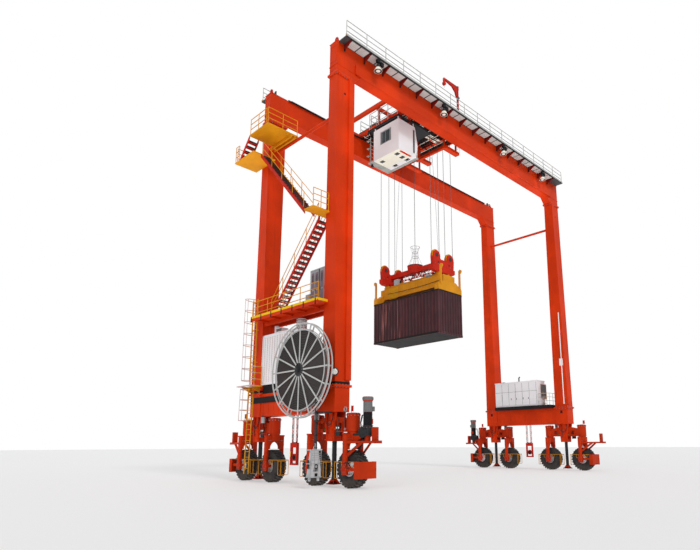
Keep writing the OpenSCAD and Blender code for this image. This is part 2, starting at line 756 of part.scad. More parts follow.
// A wheel fork with its steering pin and axle, at the wheel's own axis
module fork() {
    crown_x = fork_x + 10;
    arch_r = fork_x - 140;
    top = fork_top - 100;
    rotate([90, 0, 0]) linear_extrude(320, center = true) difference() {
        polygon([[-crown_x, arch_z - 60], [crown_x, arch_z - 60], [crown_x, top], [-crown_x, top]]);
        translate([0, arch_z]) circle(arch_r);
        translate([-arch_r, arch_z - 200]) square([2 * arch_r, 200]);
    }
    translate([0, 0, arch_z + arch_r + 30]) cylinder(r = 290, h = fork_top - arch_z - arch_r - 30);
    translate([0, 0, fork_top - 1]) cylinder(r = steer_r, h = beam_end_h - 200);
    for (s = [-1, 1]) translate([s * fork_x, 0, 0]) {
        translate([0, 0, axle_z]) cylinder(r = 125, h = top - axle_z);
        translate([0, 0, top - 30]) cylinder(r = 150, h = 60);
        translate([0, 0, axle_z + 290]) cylinder(r = 150, h = 90);
        rod_x([0, 0, axle_z], 200, bearing_w);
        translate([0, 0, axle_z]) cube([bearing_w - 30, 320, 520], center = true);
    }
    rod_x([0, 0, axle_z], axle_r, 2 * fork_x);
}

// The buffer frame and the guard plate of an outer fork, with the outward side along +Y
module buffer() {
    reach = 1760;
    arm_z = 2040;
    guard_x = fork_x + 90;
    guard_y = tyre_d / 2 + 110;
    for (s = [-1, 1]) {
        translate([0, 0, arm_z]) linear_extrude(110)
            polygon([[s * (fork_x + 60), 0], [s * (fork_x - 60), 0],
            [s * 50, reach - 120], [s * 170, reach - 120]]);
        bar([s * fork_x, 60, 1450], [s * 300, 900, arm_z + 40], 75, 4);
        block([s * (fork_x - 50) - 35, 100, axle_z - 70],
            [s * (fork_x - 50) + 35, guard_y - 30, axle_z + 70]);
    }
    block([-180, reach - 160, arm_z - 10], [180, reach, arm_z + 120]);
    block([-150, reach - 330, arm_z + 100], [150, reach - 190, arm_z + 720]);
    difference() {
        block([-guard_x, guard_y - 265, 460], [guard_x, guard_y, 1220]);
        block([40 - guard_x, guard_y - 300, 400], [guard_x - 40, guard_y - 50, 1300]);
    }
}

// The standing travel motor on its gearbox, with the outward side along +Y
module travel_motor() {
    y = 1000;
    z = fork_top - 190;
    block([-210, 200, z], [210, y + 230, z + 90]);
    for (s = [-1, 1]) translate([s * 195, 0, 0]) rotate([90, 0, 90]) linear_extrude(30, center = true)
        polygon([[225, z], [225, z - 330], [y + 100, z]]);
    block([-190, y - 230, z + 90], [190, y + 230, z + 320]);
    translate([0, y, z - 290]) cylinder(r = 140, h = 300);
    translate([0, y, z + 300]) cylinder(r = 200, h = 160);
    translate([0, y, z + 440]) cylinder(r = 175, h = 650);
    translate([0, y, z + 1060]) cylinder(r = 205, h = 560);
    translate([0, y, z + 1560]) cylinder(r = 235, h = 210);
    block([-230, y - 120, z + 520], [-160, y + 120, z + 760]);
}

module bogie_fork(sx, sy, out) {
    driven = out && sx == sy;
    color(orange) at_corner(sx, sy) translate([0, (out ? sy : -sy) * wheel_step / 2, 0]) {
        fork();
        if (out) rotate(sy > 0 ? 0 : 180) {
            buffer();
            if (driven) travel_motor();
        }
    }
}

// A tyre on its rim, with its bore on the axle
module wheel() {
    r = tyre_d / 2;
    rotate([0, 90, 0]) difference() {
        rotate_extrude($fn = 64) polygon([[0, -160], [rim_d / 2 - 60, -160],
            [rim_d / 2, -tyre_w / 2 + 40],
            [rim_d / 2 + 80, -tyre_w / 2], [r - 140, -tyre_w / 2], [r - 40, -tyre_w / 2 + 60],
                [r, -tyre_w / 2 + 170],
            [r, tyre_w / 2 - 170], [r - 40, tyre_w / 2 - 60], [r - 140, tyre_w / 2],
                [rim_d / 2 + 80, tyre_w / 2],
            [rim_d / 2, tyre_w / 2 - 40], [rim_d / 2 - 60, 160], [0, 160]]);
        cylinder(r = axle_r + run_gap, h = tyre_w, center = true);
    }
}

module bogie_wheel(sx, sy, out) {
    color("dimgray") at_corner(sx, sy) translate([0, (out ? sy : -sy) * wheel_step / 2, axle_z]) wheel();
}

carriage_top = rail_top + 330;
carriage_bottom = rail_top + 60;
deck_z = carriage_top + 50;
deck_y = half_base - 180;
drum_r = 300;
drum_z = deck_z + 400;
drum_off = drum_r + rope_d / 2 + seat;
rows = [load_y - rope_row_y, load_y + rope_row_y];
rope_top = drum_z;
bed_x = 1650;

// The cross beams and carriages of the trolley, its wheels and the beams that hang below it
module trolley_frame() {
    end = 190;
    hung_z = 22200;
    color(orange) translate([trolley_x, 0, 0]) {
        for (sy = [-1, 1]) translate([0, sy * half_base, 0]) {
            rotate([90, 0, 0]) linear_extrude(300, center = true)
                polygon([[-trolley_left + 150, carriage_bottom], [trolley_right - 150, carriage_bottom],
                         [trolley_right, carriage_bottom + 120], [trolley_right, carriage_top],
                         [-trolley_left, carriage_top], [-trolley_left, carriage_bottom + 120]]);
            for (x = [-trolley_left + 700, trolley_right - 500])
                translate([x, 0, rail_top + trolley_wheel_d / 2 + 0.3])
                rotate([90, 0, 0]) cylinder(d = trolley_wheel_d, h = rail_w + 60, center = true);
        }
        for (x = [-trolley_left + end / 2, -2900, -bed_x, bed_x, trolley_right - end / 2])
            block([x - end / 2, -half_base, carriage_bottom], [x + end / 2, half_base, carriage_top]);
        for (y = hanger_y) {
            block([-trolley_left, y - 60, carriage_bottom], [-2900, y + 60, carriage_top]);
            for (x = hanger_x) block([x - 60, y - 60, cab_z1], [x + 60, y + 60, carriage_bottom]);
        }
        block([-250, -2700, hung_z], [-50, 30, hung_z + 200]);
        block([-150, -2800, hung_z], [1320, -2450, hung_z + 200]);
        block([-150, -500, hung_z], [950, -150, hung_z + 200]);
        block([-160, 750, hung_z], [1280, 1050, hung_z + 200]);
        for (p = [[-150, -2600], [-150, -100], [1100, -2650], [-80, 900], [1180, 900]])
            translate([p[0], p[1], 0])
            block([-50, -50, hung_z + 190], [50, 50, carriage_bottom + 50]);
        for (y = [-2650, -350, 900]) block([-bed_x, y - 60, carriage_bottom],
            [bed_x, y + 60, carriage_bottom + 150]);
    }
}

module trolley_deck() {
    color("dimgray") translate([trolley_x, 0, carriage_top]) difference() {
        block([-3000, -deck_y, 0], [trolley_right, deck_y, deck_z - carriage_top]);
        for (y = rows) block([-1400, y - 160, -10], [1400, y + 160, 100]);
        for (x = [-2600, -700, 300], y = [-900, 500]) block([x, y, -10], [x + 700, y + 800, 100]);
    }
}

module trolley_railings() {
    high = 1280;
    color("lightgray") translate([trolley_x, 0, 0]) {
        railing([-4400, cab_y0 + 250, roof_z], [-4400, 450, roof_z], 900, high);
        railing([-4250, 450, roof_z], [-3250, 450, roof_z], 500, high);
        railing([-2900, deck_y - 60, deck_z], [trolley_right - 60, deck_y - 60, deck_z]);
        railing([trolley_right - 60, 100, deck_z], [trolley_right - 60, deck_y - 200, deck_z]);
    }
}

cab_x0 = -4550;
cab_x1 = -3250;
cab_front = -2750;
cab_y0 = -2450;
cab_y1 = -120;
cab_z0 = 20450;
cab_z1 = 22620;
roof_z = 22960;
hanger_x = [-4240, -3350];
hanger_y = [-2250, -300];

// The cab's shell with its side window and slanted front, and the platform over its roof
module operator_cab() {
    t = 60;
    depth = cab_y1 - cab_y0;
    color("white") translate([trolley_x, 0, 0]) difference() {
        union() {
            difference() {
                translate([0, cab_y1, 0]) rotate([90, 0, 0]) linear_extrude(depth)
                    polygon([[cab_x0, cab_z0], [cab_front - 150, cab_z0], [cab_front, cab_z0 + 900],
                        [cab_front - 250, cab_z1],
                             [cab_x0, cab_z1]]);
                translate([0, cab_y1 - t, 0]) rotate([90, 0, 0]) linear_extrude(depth - 2 * t)
                    polygon([[cab_x0 + t, cab_z0 + t], [cab_front - 210, cab_z0 + t],
                        [cab_front - 70, cab_z0 + 900],
                             [cab_front - 310, cab_z1 - t], [cab_x0 + t, cab_z1 - t]]);
            }
            block([cab_x0 + 30, cab_y0 + 50, roof_z - 60], [-3000, 500, roof_z]);
            block([cab_x0 + 30, cab_y0 + 50, roof_z - 160], [cab_x0 + 90, 500, roof_z]);
            for (x = [cab_x0 + 60, -3060], y = [cab_y0 + 100, cab_y1 - 100])
                block([x - 30, y - 30, cab_z1 - 10], [x + 30, y + 30, roof_z - 30]);
        }
        for (x = hanger_x, y = hanger_y) block([x - 61, y - 61, cab_z1], [x + 61, y + 61, roof_z + 10]);
        block([cab_x0 - t, cab_y0 + 730, cab_z0 + 950], [cab_x0 + 2 * t, cab_y0 + 1650, cab_z0 + 1800]);
        block([cab_x1 + 60, cab_y0 - t, cab_z0 + 260], [cab_front - 270, cab_y1 + t, cab_z1 - 220]);
        block([cab_front - 360, cab_y0 + 2 * t, cab_z0 + 980],
            [cab_front + t, cab_y1 - 2 * t, cab_z1 - 150]);
        block([cab_front - 300, cab_y0 + 2 * t, cab_z0 + 160],
            [cab_front + t, cab_y1 - 2 * t, cab_z0 + 860]);
        for (y = [cab_y0 + 400, cab_y0 + 1500]) block([cab_front - 620, y, cab_z0 - t],
            [cab_front - 250, y + 380, cab_z0 + 2 * t]);
    }
}

// The footwalk along two sides of the cab's floor, with the ladder up to the roof platform
module cab_walkway() {
    side = cab_y1 + 480;
    front = cab_front + 60;
    top = cab_z0 + 50;
    guard = 700;
    color("darkgray") translate([trolley_x, 0, 0]) {
        block([cab_x0 - 50, cab_y1, cab_z0 - 20], [front, side, top]);
        block([cab_front - 141, cab_y0, cab_z0 - 20], [front, cab_y1 + 10, top]);
        for (x = [cab_x0 + 125, cab_x0 + 550]) block([x - 25, side - 60, top - 10],
            [x + 25, side - 10, roof_z - 60]);
        for (z = [top + 250 : 280 : roof_z - 200])
            block([cab_x0 + 110, side - 50, z], [cab_x0 + 560, side - 20, z + 30]);
        for (z = [top + 500 : 550 : roof_z - 300]) for (x = [cab_x0 - 90, cab_x0 - 20])
            block([x, side - 60, z], [x + 30, side + 120, z + 30]);
        for (z = [top + 500 : 550 : roof_z - 300], y = [side - 60, side + 90])
            block([cab_x0 - 90, y, z], [cab_x0 + 110, y + 30, z + 30]);
        for (x = [cab_x0 + 1300, front - 60]) block([x, side - 50, top - 10],
            [x + 40, side - 10, top + guard]);
        block([cab_x0 + 1300, side - 45, top + guard - 40], [front - 20, side - 15, top + guard]);
    }
}

rope_x = [-1120, -310, 310, 1120];
sheave_x = (rope_x[2] + rope_x[3]) / 2;
sheave_r = (rope_x[3] - rope_x[2]) / 2;
lift_z = load_bottom + box_h;
sheave_z = lift_z + 2540;

// The two rope drums on the trolley with their pedestals, gearboxes and motors
module hoist_machinery() {
    color("slategray") translate([trolley_x, 0, 0]) {
        for (i = [0, 1]) translate([0, rows[i] + (i == 0 ? 1 : -1) * drum_off, 0]) {
            rod_x([0, 0, drum_z], drum_r, 2 * bed_x);
            for (x = [-1480, 0, 1480]) rod_x([x, 0, drum_z], drum_r + 60, 40);
            for (x = [-bed_x - 80, bed_x]) translate([x, 0, 0]) {
                rotate([90, 0, 90]) linear_extrude(80)
                    polygon([[-320, deck_z], [320, deck_z], [140, drum_z + 180],
                                                                [-140, drum_z + 180]]);
            }
            block([-2350, -330, deck_z], [-bed_x - 80, 330, drum_z + 330]);
        }
        translate([-2050, 0, deck_z + 430]) rotate([90, 0, 0]) cylinder(r = 230, h = 1500, center = true);
        for (y = [-600, 600]) block([-2250, y - 60, deck_z], [-1850, y + 60, deck_z + 430]);
        translate([-2050, 300, deck_z + 430]) rotate([90, 0, 0])
            cylinder(r = 60, h = 4300, center = true);
        block([600, -800, deck_z], [2200, 900, deck_z + 700]);
    }
}

module hoist_ropes() {
    color("dimgray") translate([trolley_x, 0, 0]) for (x = rope_x, y = rows)
        translate([x, y, sheave_z]) cylinder(d = rope_d, h = rope_top - sheave_z, $fn = 8);
}

seat_z = lift_z + 1420;

// The headblock: two sheave housings on cross beams, the beam between them and the cable basket
module headblock() {
    base_z = seat_z + 400;
    beam_z = base_z + 150;
    basket_r = 545;
    basket_y = 380;
    color("firebrick") translate([trolley_x, 0, 0]) difference() {
        union() {
            for (y = rows) translate([0, y, 0]) rotate([90, 0, 0]) {
                linear_extrude(300, center = true)
                    polygon([[-950, seat_z], [950, seat_z], [1150, seat_z + 120], [1150, base_z],
                        [-1150, base_z],
                             [-1150, seat_z + 120]]);
                linear_extrude(260, center = true) {
                    polygon([[-1040, base_z - 10], [1040, base_z - 10], [1090, sheave_z - 100],
                        [430, sheave_z - 60],
                             [300, sheave_z - 230], [-300, sheave_z - 230], [-430, sheave_z - 60],
                                 [-1090, sheave_z - 100]]);
                    for (s = [-1, 1]) translate([s * sheave_x, sheave_z - 40]) circle(360);
                }
                for (s = [-1, 1]) translate([s * sheave_x, sheave_z, 0]) {
                    cylinder(r = sheave_r - rope_d / 2 - seat, h = 90, center = true);
                    cylinder(r = 90, h = 320, center = true);
                }
            }
            block([-210, rows[0], beam_z], [210, rows[1], beam_z + 330]);
            for (x = [-420, 340]) block([x, rows[0], seat_z + 60], [x + 80, rows[1], seat_z + 160]);
            for (y = [-1400, -500, 700, 1700]) block([-420, y - 40, seat_z + 60],
                [420, y + 40, seat_z + 160]);
            for (y = [-1400, 1700]) block([-60, y - 60, seat_z + 100], [60, y + 60, beam_z + 10]);
            translate([0, basket_y, beam_z - 60]) cylinder(r1 = basket_r - 60, r2 = basket_r, h = 585,
                $fn = 48);
        }
        translate([0, basket_y, beam_z + 340]) cylinder(r = basket_r - 80, h = 300, $fn = 48);
    }
}

// The spreader: its main box, end frames, seats, locks and the raised guide arms at the corners
module spreader_beam() {
    end_y = box_l / 2;
    low = lift_z + 20;
    color("goldenrod") translate([trolley_x, load_y, 0]) {
        block([-600, -end_y + 480, lift_z + 370], [600, end_y - 480, lift_z + 1270]);
        block([-640, -end_y + 480, lift_z + 370], [640, end_y - 480, lift_z + 410]);
        block([-640, -end_y + 480, lift_z + 1230], [640, end_y - 480, lift_z + 1270]);
        for (s = [-1, 1]) {
            translate([0, s * (end_y - 300), 0]) block([-600, -200, lift_z + 300],
                [600, 200, lift_z + 1150]);
            translate([0, s * (end_y - 170), 0]) rotate([90, 0, 0]) linear_extrude(330, center = true)
                polygon([[-box_w / 2, low], [box_w / 2, low], [box_w / 2, low + 330],
                    [box_w / 2 - 180, low + 420],
                         [620, low + 700], [-620, low + 700], [-box_w / 2 + 180, low + 420],
                             [-box_w / 2, low + 330]]);
            for (x = [-1, 1]) block([x * 480 - 90, s * rope_row_y - 140, lift_z + 1200],
                                    [x * 480 + 90, s * rope_row_y + 140, seat_z]);
            for (x = [-1, 1]) translate([x * (box_w / 2 - 89), s * (end_y - 89), 0]) {
                translate([0, 0, lift_z + 0.3]) cylinder(r = 55, h = 40);
                translate([0, 0, low + 300]) cylinder(r = 90, h = 150);
            }
            for (x = [-1, 1]) translate([x * (box_w / 2 - 230), s * (end_y + 10), low])
                rotate([90, 0, 90])
                linear_extrude(110, center = true) polygon([[-s * 150, 300], [s * 20, 300], [s * 60, 420],
                    [s * 60, 1420], [s * 180, 1560], [s * 170, 1680], [s * 60, 1730], [-s * 40, 1640],
                        [-s * 50, 500],
                    [-s * 150, 420]]);
        }
        for (y = [-1500, 900]) block([-350, y, lift_z + 1260], [250, y + 500, seat_z + 30]);
    }
}

// A corrugated panel along X, its outer crests in the plane y = 0
module corrugated(l, h, n) {
    p = l / n;
    deep = 36;
    t = 24;
    crest = [for (i = [0 : n - 1]) each [[i * p, 0], [(i + 0.4) * p, 0], [(i + 0.5) * p, deep],
        [(i + 0.9) * p, deep]]];
    back = [for (i = [len(crest) - 1 : -1 : 0]) crest[i] + [0, t]];
    linear_extrude(h) polygon(concat(crest, [[l, 0], [l, t]], back));
}

module container() {
    w = box_w / 2;
    l = box_l / 2;
    post = 160;
    cast = [162, 178, 118];
    inset = 12;
    rail = 90;
    color("maroon") translate([trolley_x, load_y, load_bottom]) {
        for (sx = [-1, 1], sy = [-1, 1]) mirror([sx < 0 ? 1 : 0, 0, 0]) mirror([0, sy < 0 ? 1 : 0, 0]) {
            for (z = [0, box_h - cast[2]]) translate([w - cast[0], l - cast[1], z]) cube(cast);
            block([w - post, l - post, 60], [w - inset, l - inset, box_h - 60]);
        }
        for (sx = [-1, 1]) mirror([sx < 0 ? 1 : 0, 0, 0]) {
            block([w - inset - rail, -l + post, 20], [w - inset, l - post, 20 + 150]);
            block([w - inset - rail, -l + post, box_h - 20 - rail], [w - inset, l - post, box_h - 20]);
            translate([w - inset, -l + post - 10, 160]) rotate(90)
                corrugated(box_l - 2 * post + 20, box_h - 260, 20);
        }
        for (z = [20, box_h - 20 - rail]) {
            block([-w + post, -l + inset, z], [w - post, -l + inset + rail,
                z + rail + (z < 100 ? 60 : 0)]);
            block([-w + post, l - inset - rail, z], [w - post, l - inset, z + rail + (z < 100 ? 60 : 0)]);
        }
        translate([-w + post - 10, -l + inset, 160]) corrugated(box_w - 2 * post + 20, box_h - 260, 8);
        for (s = [-1, 1]) block([min(s * 6, s * (w - post + 10)), l - inset - 60, 160],
                                [max(s * 6, s * (w - post + 10)), l - inset - 15, box_h - 100]);
        for (x = [-900, -300, 300, 900]) translate([x, l - inset - 18, 120])
            cylinder(r = 17, h = box_h - 240, $fn = 8);
        block([-w + inset + 20, -l + inset + 20, 120], [w - inset - 20, l - inset - 20, 165]);
        block([-w + inset + 20, -l + inset + 20, box_h - 70],
            [w - inset - 20, l - inset - 20, box_h - 40]);
        for (y = [-2700 : 450 : 2700]) block([-w + inset + 20, y - 40, 30],
            [w - inset - 20, y + 40, 130]);
    }
}

placed() near_girder();
placed() far_girder();
placed() near_legs();
placed() far_legs();
placed() sill_beams();
placed() leg_brackets();
placed() tie_pipes();
placed() cable_ducts();
placed() crane_rails();
placed() lifting_lugs();
placed() walkway_decks();
placed() walkway_railings();
placed() floodlights();
placed() davit_post();
placed() davit_jib();
placed() electrical_platform();
placed() electrical_cabinets();
placed() transformer_cabinet();
placed() stair_flights();
placed() stair_landings();
placed() stair_railings();
placed() ladders();
placed() reel_stand();
placed() cable_reel();
placed() reel_cable();
placed() cable_guide();
placed() generator_base();
placed() generator_house();
placed() cable_trays();
placed() storm_anchors();
for (c = [["nl", -1, -1], ["fl", -1, 1], ["nr", 1, -1], ["fr", 1, 1]]) {
    placed() bogie_beam(c[1], c[2]);
    placed() bogie_fork(c[1], c[2], true);
    placed() bogie_fork(c[1], c[2], false);
    placed() bogie_wheel(c[1], c[2], true);
    placed() bogie_wheel(c[1], c[2], false);
}
placed() trolley_frame();
placed() trolley_deck();
placed() trolley_railings();
placed() operator_cab();
placed() cab_walkway();
placed() hoist_machinery();
placed() hoist_ropes();
placed() headblock();
placed() spreader_beam();
placed() container();
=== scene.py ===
"""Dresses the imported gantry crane: finishes for every part, fine pieces, camera and stage."""

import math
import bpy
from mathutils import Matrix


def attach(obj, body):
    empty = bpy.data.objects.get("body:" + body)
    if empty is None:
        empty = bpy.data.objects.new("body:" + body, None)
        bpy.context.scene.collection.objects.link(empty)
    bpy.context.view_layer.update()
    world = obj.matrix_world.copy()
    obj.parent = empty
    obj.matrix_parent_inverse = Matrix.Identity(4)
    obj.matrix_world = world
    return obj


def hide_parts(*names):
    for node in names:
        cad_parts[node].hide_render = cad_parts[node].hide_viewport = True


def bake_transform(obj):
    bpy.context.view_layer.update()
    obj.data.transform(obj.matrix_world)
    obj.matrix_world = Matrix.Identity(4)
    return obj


bl_info = {
    "name": "Gantry crane dressing",
    "version": (1, 0, 0),
    "blender": (4, 5, 0),
    "location": "View3D > Sidebar > Crane",
    "description": "Adds the finishes and the fine pieces of a rubber tyred gantry crane to its packed frame",
    "category": "Object",
}

import bmesh
import bpy
from mathutils import Matrix, Vector

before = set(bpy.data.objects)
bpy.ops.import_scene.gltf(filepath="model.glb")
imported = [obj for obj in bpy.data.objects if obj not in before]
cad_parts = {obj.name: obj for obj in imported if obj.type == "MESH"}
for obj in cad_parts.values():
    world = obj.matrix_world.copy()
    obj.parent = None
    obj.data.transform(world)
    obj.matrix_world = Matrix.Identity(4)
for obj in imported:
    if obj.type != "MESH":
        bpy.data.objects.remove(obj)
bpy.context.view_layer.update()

# Places and sizes of the drawing, in millimetres from the crane's middle on the ground

SHIFT = 705.0
HALF_SPAN = 11735.0
HALF_BASE = 3300.0
GIRDER_TOP = 24090.0
GIRDER_BOTTOM = 22610.0
GIRDER_W = 620.0
JOINT_Z = 22080.0
LEG_FOOT = (940.0, 1030.0)
LEG_HEAD = (1220.0, 620.0)
SILL_TOP = 4820.0
SILL_BOTTOM = 3550.0
SILL_SIDE = 471.0
WALK_Y = HALF_BASE + GIRDER_W / 2
DAVIT_TOP = 25900.0

WHEEL_STEP = 2740.0
AXLE_Z = 875.0
BEAM_BOTTOM = 2590.0
CYLINDER_Z = 2720.0
GUARD_TOP = 1200.0
GUARD_REACH = 930.0

REEL = (-13135.0, -2270.0, 5620.0)
GUIDE_Y = -3540.0
PLATFORM_Z = 9090.0
PLAT_X0 = -HALF_SPAN - 1170.0
CABINET_X = -12280.0
GEN_X = HALF_SPAN - 900.0
GEN_END = -1502.0
GEN_Z = 5080.0

TROLLEY_X = -1700.0
TROLLEY_FLOOR = GIRDER_TOP + 190.0
ROPE_TOP = 25000.0
LOAD_Y = 300.0
LOAD_BOTTOM = 8930.0
LIFT_Z = LOAD_BOTTOM + 2896.0
BOX_HALF_W = 1219.0
BOX_HALF_L = 3029.0
SHEAVE_Z = LIFT_Z + 2540.0
SHEAVE_X = 715.0
ROWS = (LOAD_Y - 2400.0, LOAD_Y + 2400.0)
BASKET_Y = 380.0

BOTH = (-1, 1)
CORNERS = {"nl": (-1, -1), "fl": (-1, 1), "nr": (1, -1), "fr": (1, 1)}
ALONG = {"x": (0, 90, 0), "y": (90, 0, 0), "z": (0, 0, 0)}
FLAT = (0, 0, 0)

MATS = {}


def place(x, y, z):
    """A point of the drawing as a point of the frame in metres."""
    return Vector(((x + SHIFT) / 1000.0, y / 1000.0, z / 1000.0))


def around(centre, axis, radius, count, other=0.0):
    """Points evenly spaced on a circle across an axis; other is the second radius of an oval."""
    x, y, z = centre
    made = []
    for k in range(count):
        a = 2 * math.pi * k / count
        p, q = math.cos(a) * radius, math.sin(a) * (other or radius)
        made.append({"x": (x, y + p, z + q), "y": (x + p, y, z + q), "z": (x + p, y + q, z)}[axis])
    return made


# Meshes


class Shape:
    """Collects plain solids, given in drawing millimetres, into one mesh."""

    def __init__(self):
        self.bm = bmesh.new()

    def _take(self, verts, faces):
        made = [self.bm.verts.new(place(*v)) for v in verts]
        for face in faces:
            self.bm.faces.new([made[i] for i in face])
        return self

    def block(self, a, b):
        """A box between two opposite corners."""
        x0, y0, z0 = (min(p, q) for p, q in zip(a, b))
        x1, y1, z1 = (max(p, q) for p, q in zip(a, b))
        return self.prism([(x0, y0), (x1, y0), (x1, y1), (x0, y1)], "z", z0, z1)

    def prism(self, outline, axis, low, high):
        """A prism: its outline lies across the axis, in the order of the other two axes."""
        first, second, along = {"x": (1, 2, 0), "y": (0, 2, 1), "z": (0, 1, 2)}[axis]
        verts = []
        for h in (low, high):
            for p in outline:
                q = [0.0, 0.0, 0.0]
                q[first], q[second], q[along] = p[0], p[1], h
                verts.append(tuple(q))
        n = len(outline)
        faces = [tuple(range(n)), tuple(range(2 * n - 1, n - 1, -1))]
        faces += [(i, (i + 1) % n, n + (i + 1) % n, n + i) for i in range(n)]
        return self._take(verts, faces)

    def tube(self, points, radius, sides=8, closed=False):
        """A round bar along points; radius is one value or one for each point."""
        pts = [Vector(p) for p in points]
        rings, up = [], None
        for i, p in enumerate(pts):
            if closed:
                d = pts[(i + 1) % len(pts)] - pts[i - 1]
            else:
                d = pts[min(i + 1, len(pts) - 1)] - pts[max(i - 1, 0)]
            d.normalize()
            if up is None or abs(up.dot(d)) > 0.97:
                up = Vector((0, 0, 1)) if abs(d.z) < 0.9 else Vector((1, 0, 0))
            side = d.cross(up).normalized()
            up = side.cross(d).normalized()
            r = radius[i] if isinstance(radius, (list, tuple)) else radius
            ring = []
            for k in range(sides):
                a = 2 * math.pi * k / sides
                q = p + side * (r * math.cos(a)) + up * (r * math.sin(a))
                ring.append(self.bm.verts.new(place(*q)))
            rings.append(ring)
        count = len(rings) if closed else len(rings) - 1
        for i in range(count):
            a, b = rings[i], rings[(i + 1) % len(rings)]
            for k in range(sides):
                j = (k + 1) % sides
                self.bm.faces.new((a[k], a[j], b[j], b[k]))
        if not closed:
            self.bm.faces.new(list(reversed(rings[0])))
            self.bm.faces.new(rings[-1])
        return self

    def drum(self, centre, axis, radius, length, sides=24, inner=0.0):
        """A round piece, or a ring if it has an inner radius, centred on a point."""
        half = length / 2.0
        outline = [(inner, -half), (radius, -half), (radius, half), (inner, half)]
        return self.lathe(centre, axis, outline, sides, ring=inner > 0)

    def lathe(self, centre, axis, outline, sides=32, ring=False):
        """Turns an outline of (radius, height) points about an axis through a point."""
        along = {"x": Vector((1, 0, 0)), "y": Vector((0, 1, 0)), "z": Vector((0, 0, 1))}[axis]
        u = {"x": Vector((0, 1, 0)), "y": Vector((0, 0, 1)), "z": Vector((1, 0, 0))}[axis]
        w = along.cross(u)
        turns = [2 * math.pi * k / sides for k in range(sides)]
        rows = []
        for r, h in outline:
            hub = Vector(centre) + along * h
            spots = [hub + (u * math.cos(t) + w * math.sin(t)) * r for t in turns] if r > 0 else [hub]
            rows.append([self.bm.verts.new(place(*q)) for q in spots])
        pairs = list(zip(rows, rows[1:])) + ([(rows[-1], rows[0])] if ring else [])
        for p, q in pairs:
            for k in range(sides):
                j = (k + 1) % sides
                if len(p) == 1 and len(q) > 1:
                    self.bm.faces.new((p[0], q[j], q[k]))
                elif len(q) == 1 and len(p) > 1:
                    self.bm.faces.new((p[k], p[j], q[0]))
                elif len(p) > 1:
                    self.bm.faces.new((p[k], p[j], q[j], q[k]))
        return self

    def piece(self, name, body, finish, bevel=0.0, smooth=False):
        """Turns what was collected into one object that rides on a body."""
        bmesh.ops.recalc_face_normals(self.bm, faces=self.bm.faces[:])
        mesh = bpy.data.meshes.new(name)
        self.bm.to_mesh(mesh)
        self.bm.free()
        return finish_piece(name, mesh, body, finish, bevel, smooth)


def finish_piece(name, mesh, body, finish, bevel=0.0, smooth=False):
    """Makes the object of a mesh, with its finish, its rounded edges and its shading."""
    mesh.materials.clear()
    mesh.materials.append(MATS[finish])
    obj = bpy.data.objects.new(name, mesh)
    bpy.context.scene.collection.objects.link(obj)
    if bevel:
        mod = obj.modifiers.new("edges", "BEVEL")
        mod.width = bevel / 1000.0
        mod.segments = 2
        mod.limit_method = "ANGLE"
    if smooth:
        mesh.shade_smooth()
        mesh.set_sharp_from_angle(angle=math.radians(35))
    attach(obj, body)
    return obj


# Repeated pieces by Geometry Nodes


def repeat_tree(kind):
    """A node group that sets one small solid on every point, turned and sized by the points' attributes."""
    name = "repeat_" + kind
    if name in bpy.data.node_groups:
        return bpy.data.node_groups[name]
    tree = bpy.data.node_groups.new(name, "GeometryNodeTree")
    face = tree.interface
    face.new_socket("Geometry", in_out="INPUT", socket_type="NodeSocketGeometry")
    sides = face.new_socket("Sides", in_out="INPUT", socket_type="NodeSocketInt")
    sides.default_value = 6
    face.new_socket("Finish", in_out="INPUT", socket_type="NodeSocketMaterial")
    face.new_socket("Geometry", in_out="OUTPUT", socket_type="NodeSocketGeometry")
    new, link = tree.nodes.new, tree.links.new
    group_in, group_out = new("NodeGroupInput"), new("NodeGroupOutput")
    if kind == "bar":
        solid = new("GeometryNodeMeshCube")
        solid.inputs["Size"].default_value = (1, 1, 1)
    else:
        solid = new("GeometryNodeMeshCylinder")
        solid.inputs["Radius"].default_value = 0.5
        solid.inputs["Depth"].default_value = 1.0
        link(group_in.outputs["Sides"], solid.inputs["Vertices"])
    put = new("GeometryNodeInstanceOnPoints")
    turn, size = new("GeometryNodeInputNamedAttribute"), new("GeometryNodeInputNamedAttribute")
    for node, key in ((turn, "turn"), (size, "size")):
        node.data_type = "FLOAT_VECTOR"
        node.inputs["Name"].default_value = key
    euler = new("FunctionNodeEulerToRotation")
    real, finish = new("GeometryNodeRealizeInstances"), new("GeometryNodeSetMaterial")
    link(group_in.outputs["Geometry"], put.inputs["Points"])
    link(solid.outputs["Mesh"], put.inputs["Instance"])
    link(turn.outputs["Attribute"], euler.inputs["Euler"])
    link(euler.outputs["Rotation"], put.inputs["Rotation"])
    link(size.outputs["Attribute"], put.inputs["Scale"])
    link(put.outputs["Instances"], real.inputs["Geometry"])
    link(real.outputs["Geometry"], finish.inputs["Geometry"])
    link(group_in.outputs["Finish"], finish.inputs["Material"])
    link(finish.outputs["Geometry"], group_out.inputs["Geometry"])
    return tree


def turned(*steps):
    """The turn in degrees that makes each (axis, degrees) step in order, for a repeated piece."""
    turn = Matrix.Identity(3)
    for axis, angle in steps:
        turn = Matrix.Rotation(math.radians(angle), 3, axis) @ turn
    return tuple(math.degrees(v) for v in turn.to_euler("XYZ"))


def bolt_circle(centre, axis, radius, count, size):
    """Spots for bolt heads on a circle, which stand along its axis."""
    return [(p, ALONG[axis], size) for p in around(centre, axis, radius, count)]


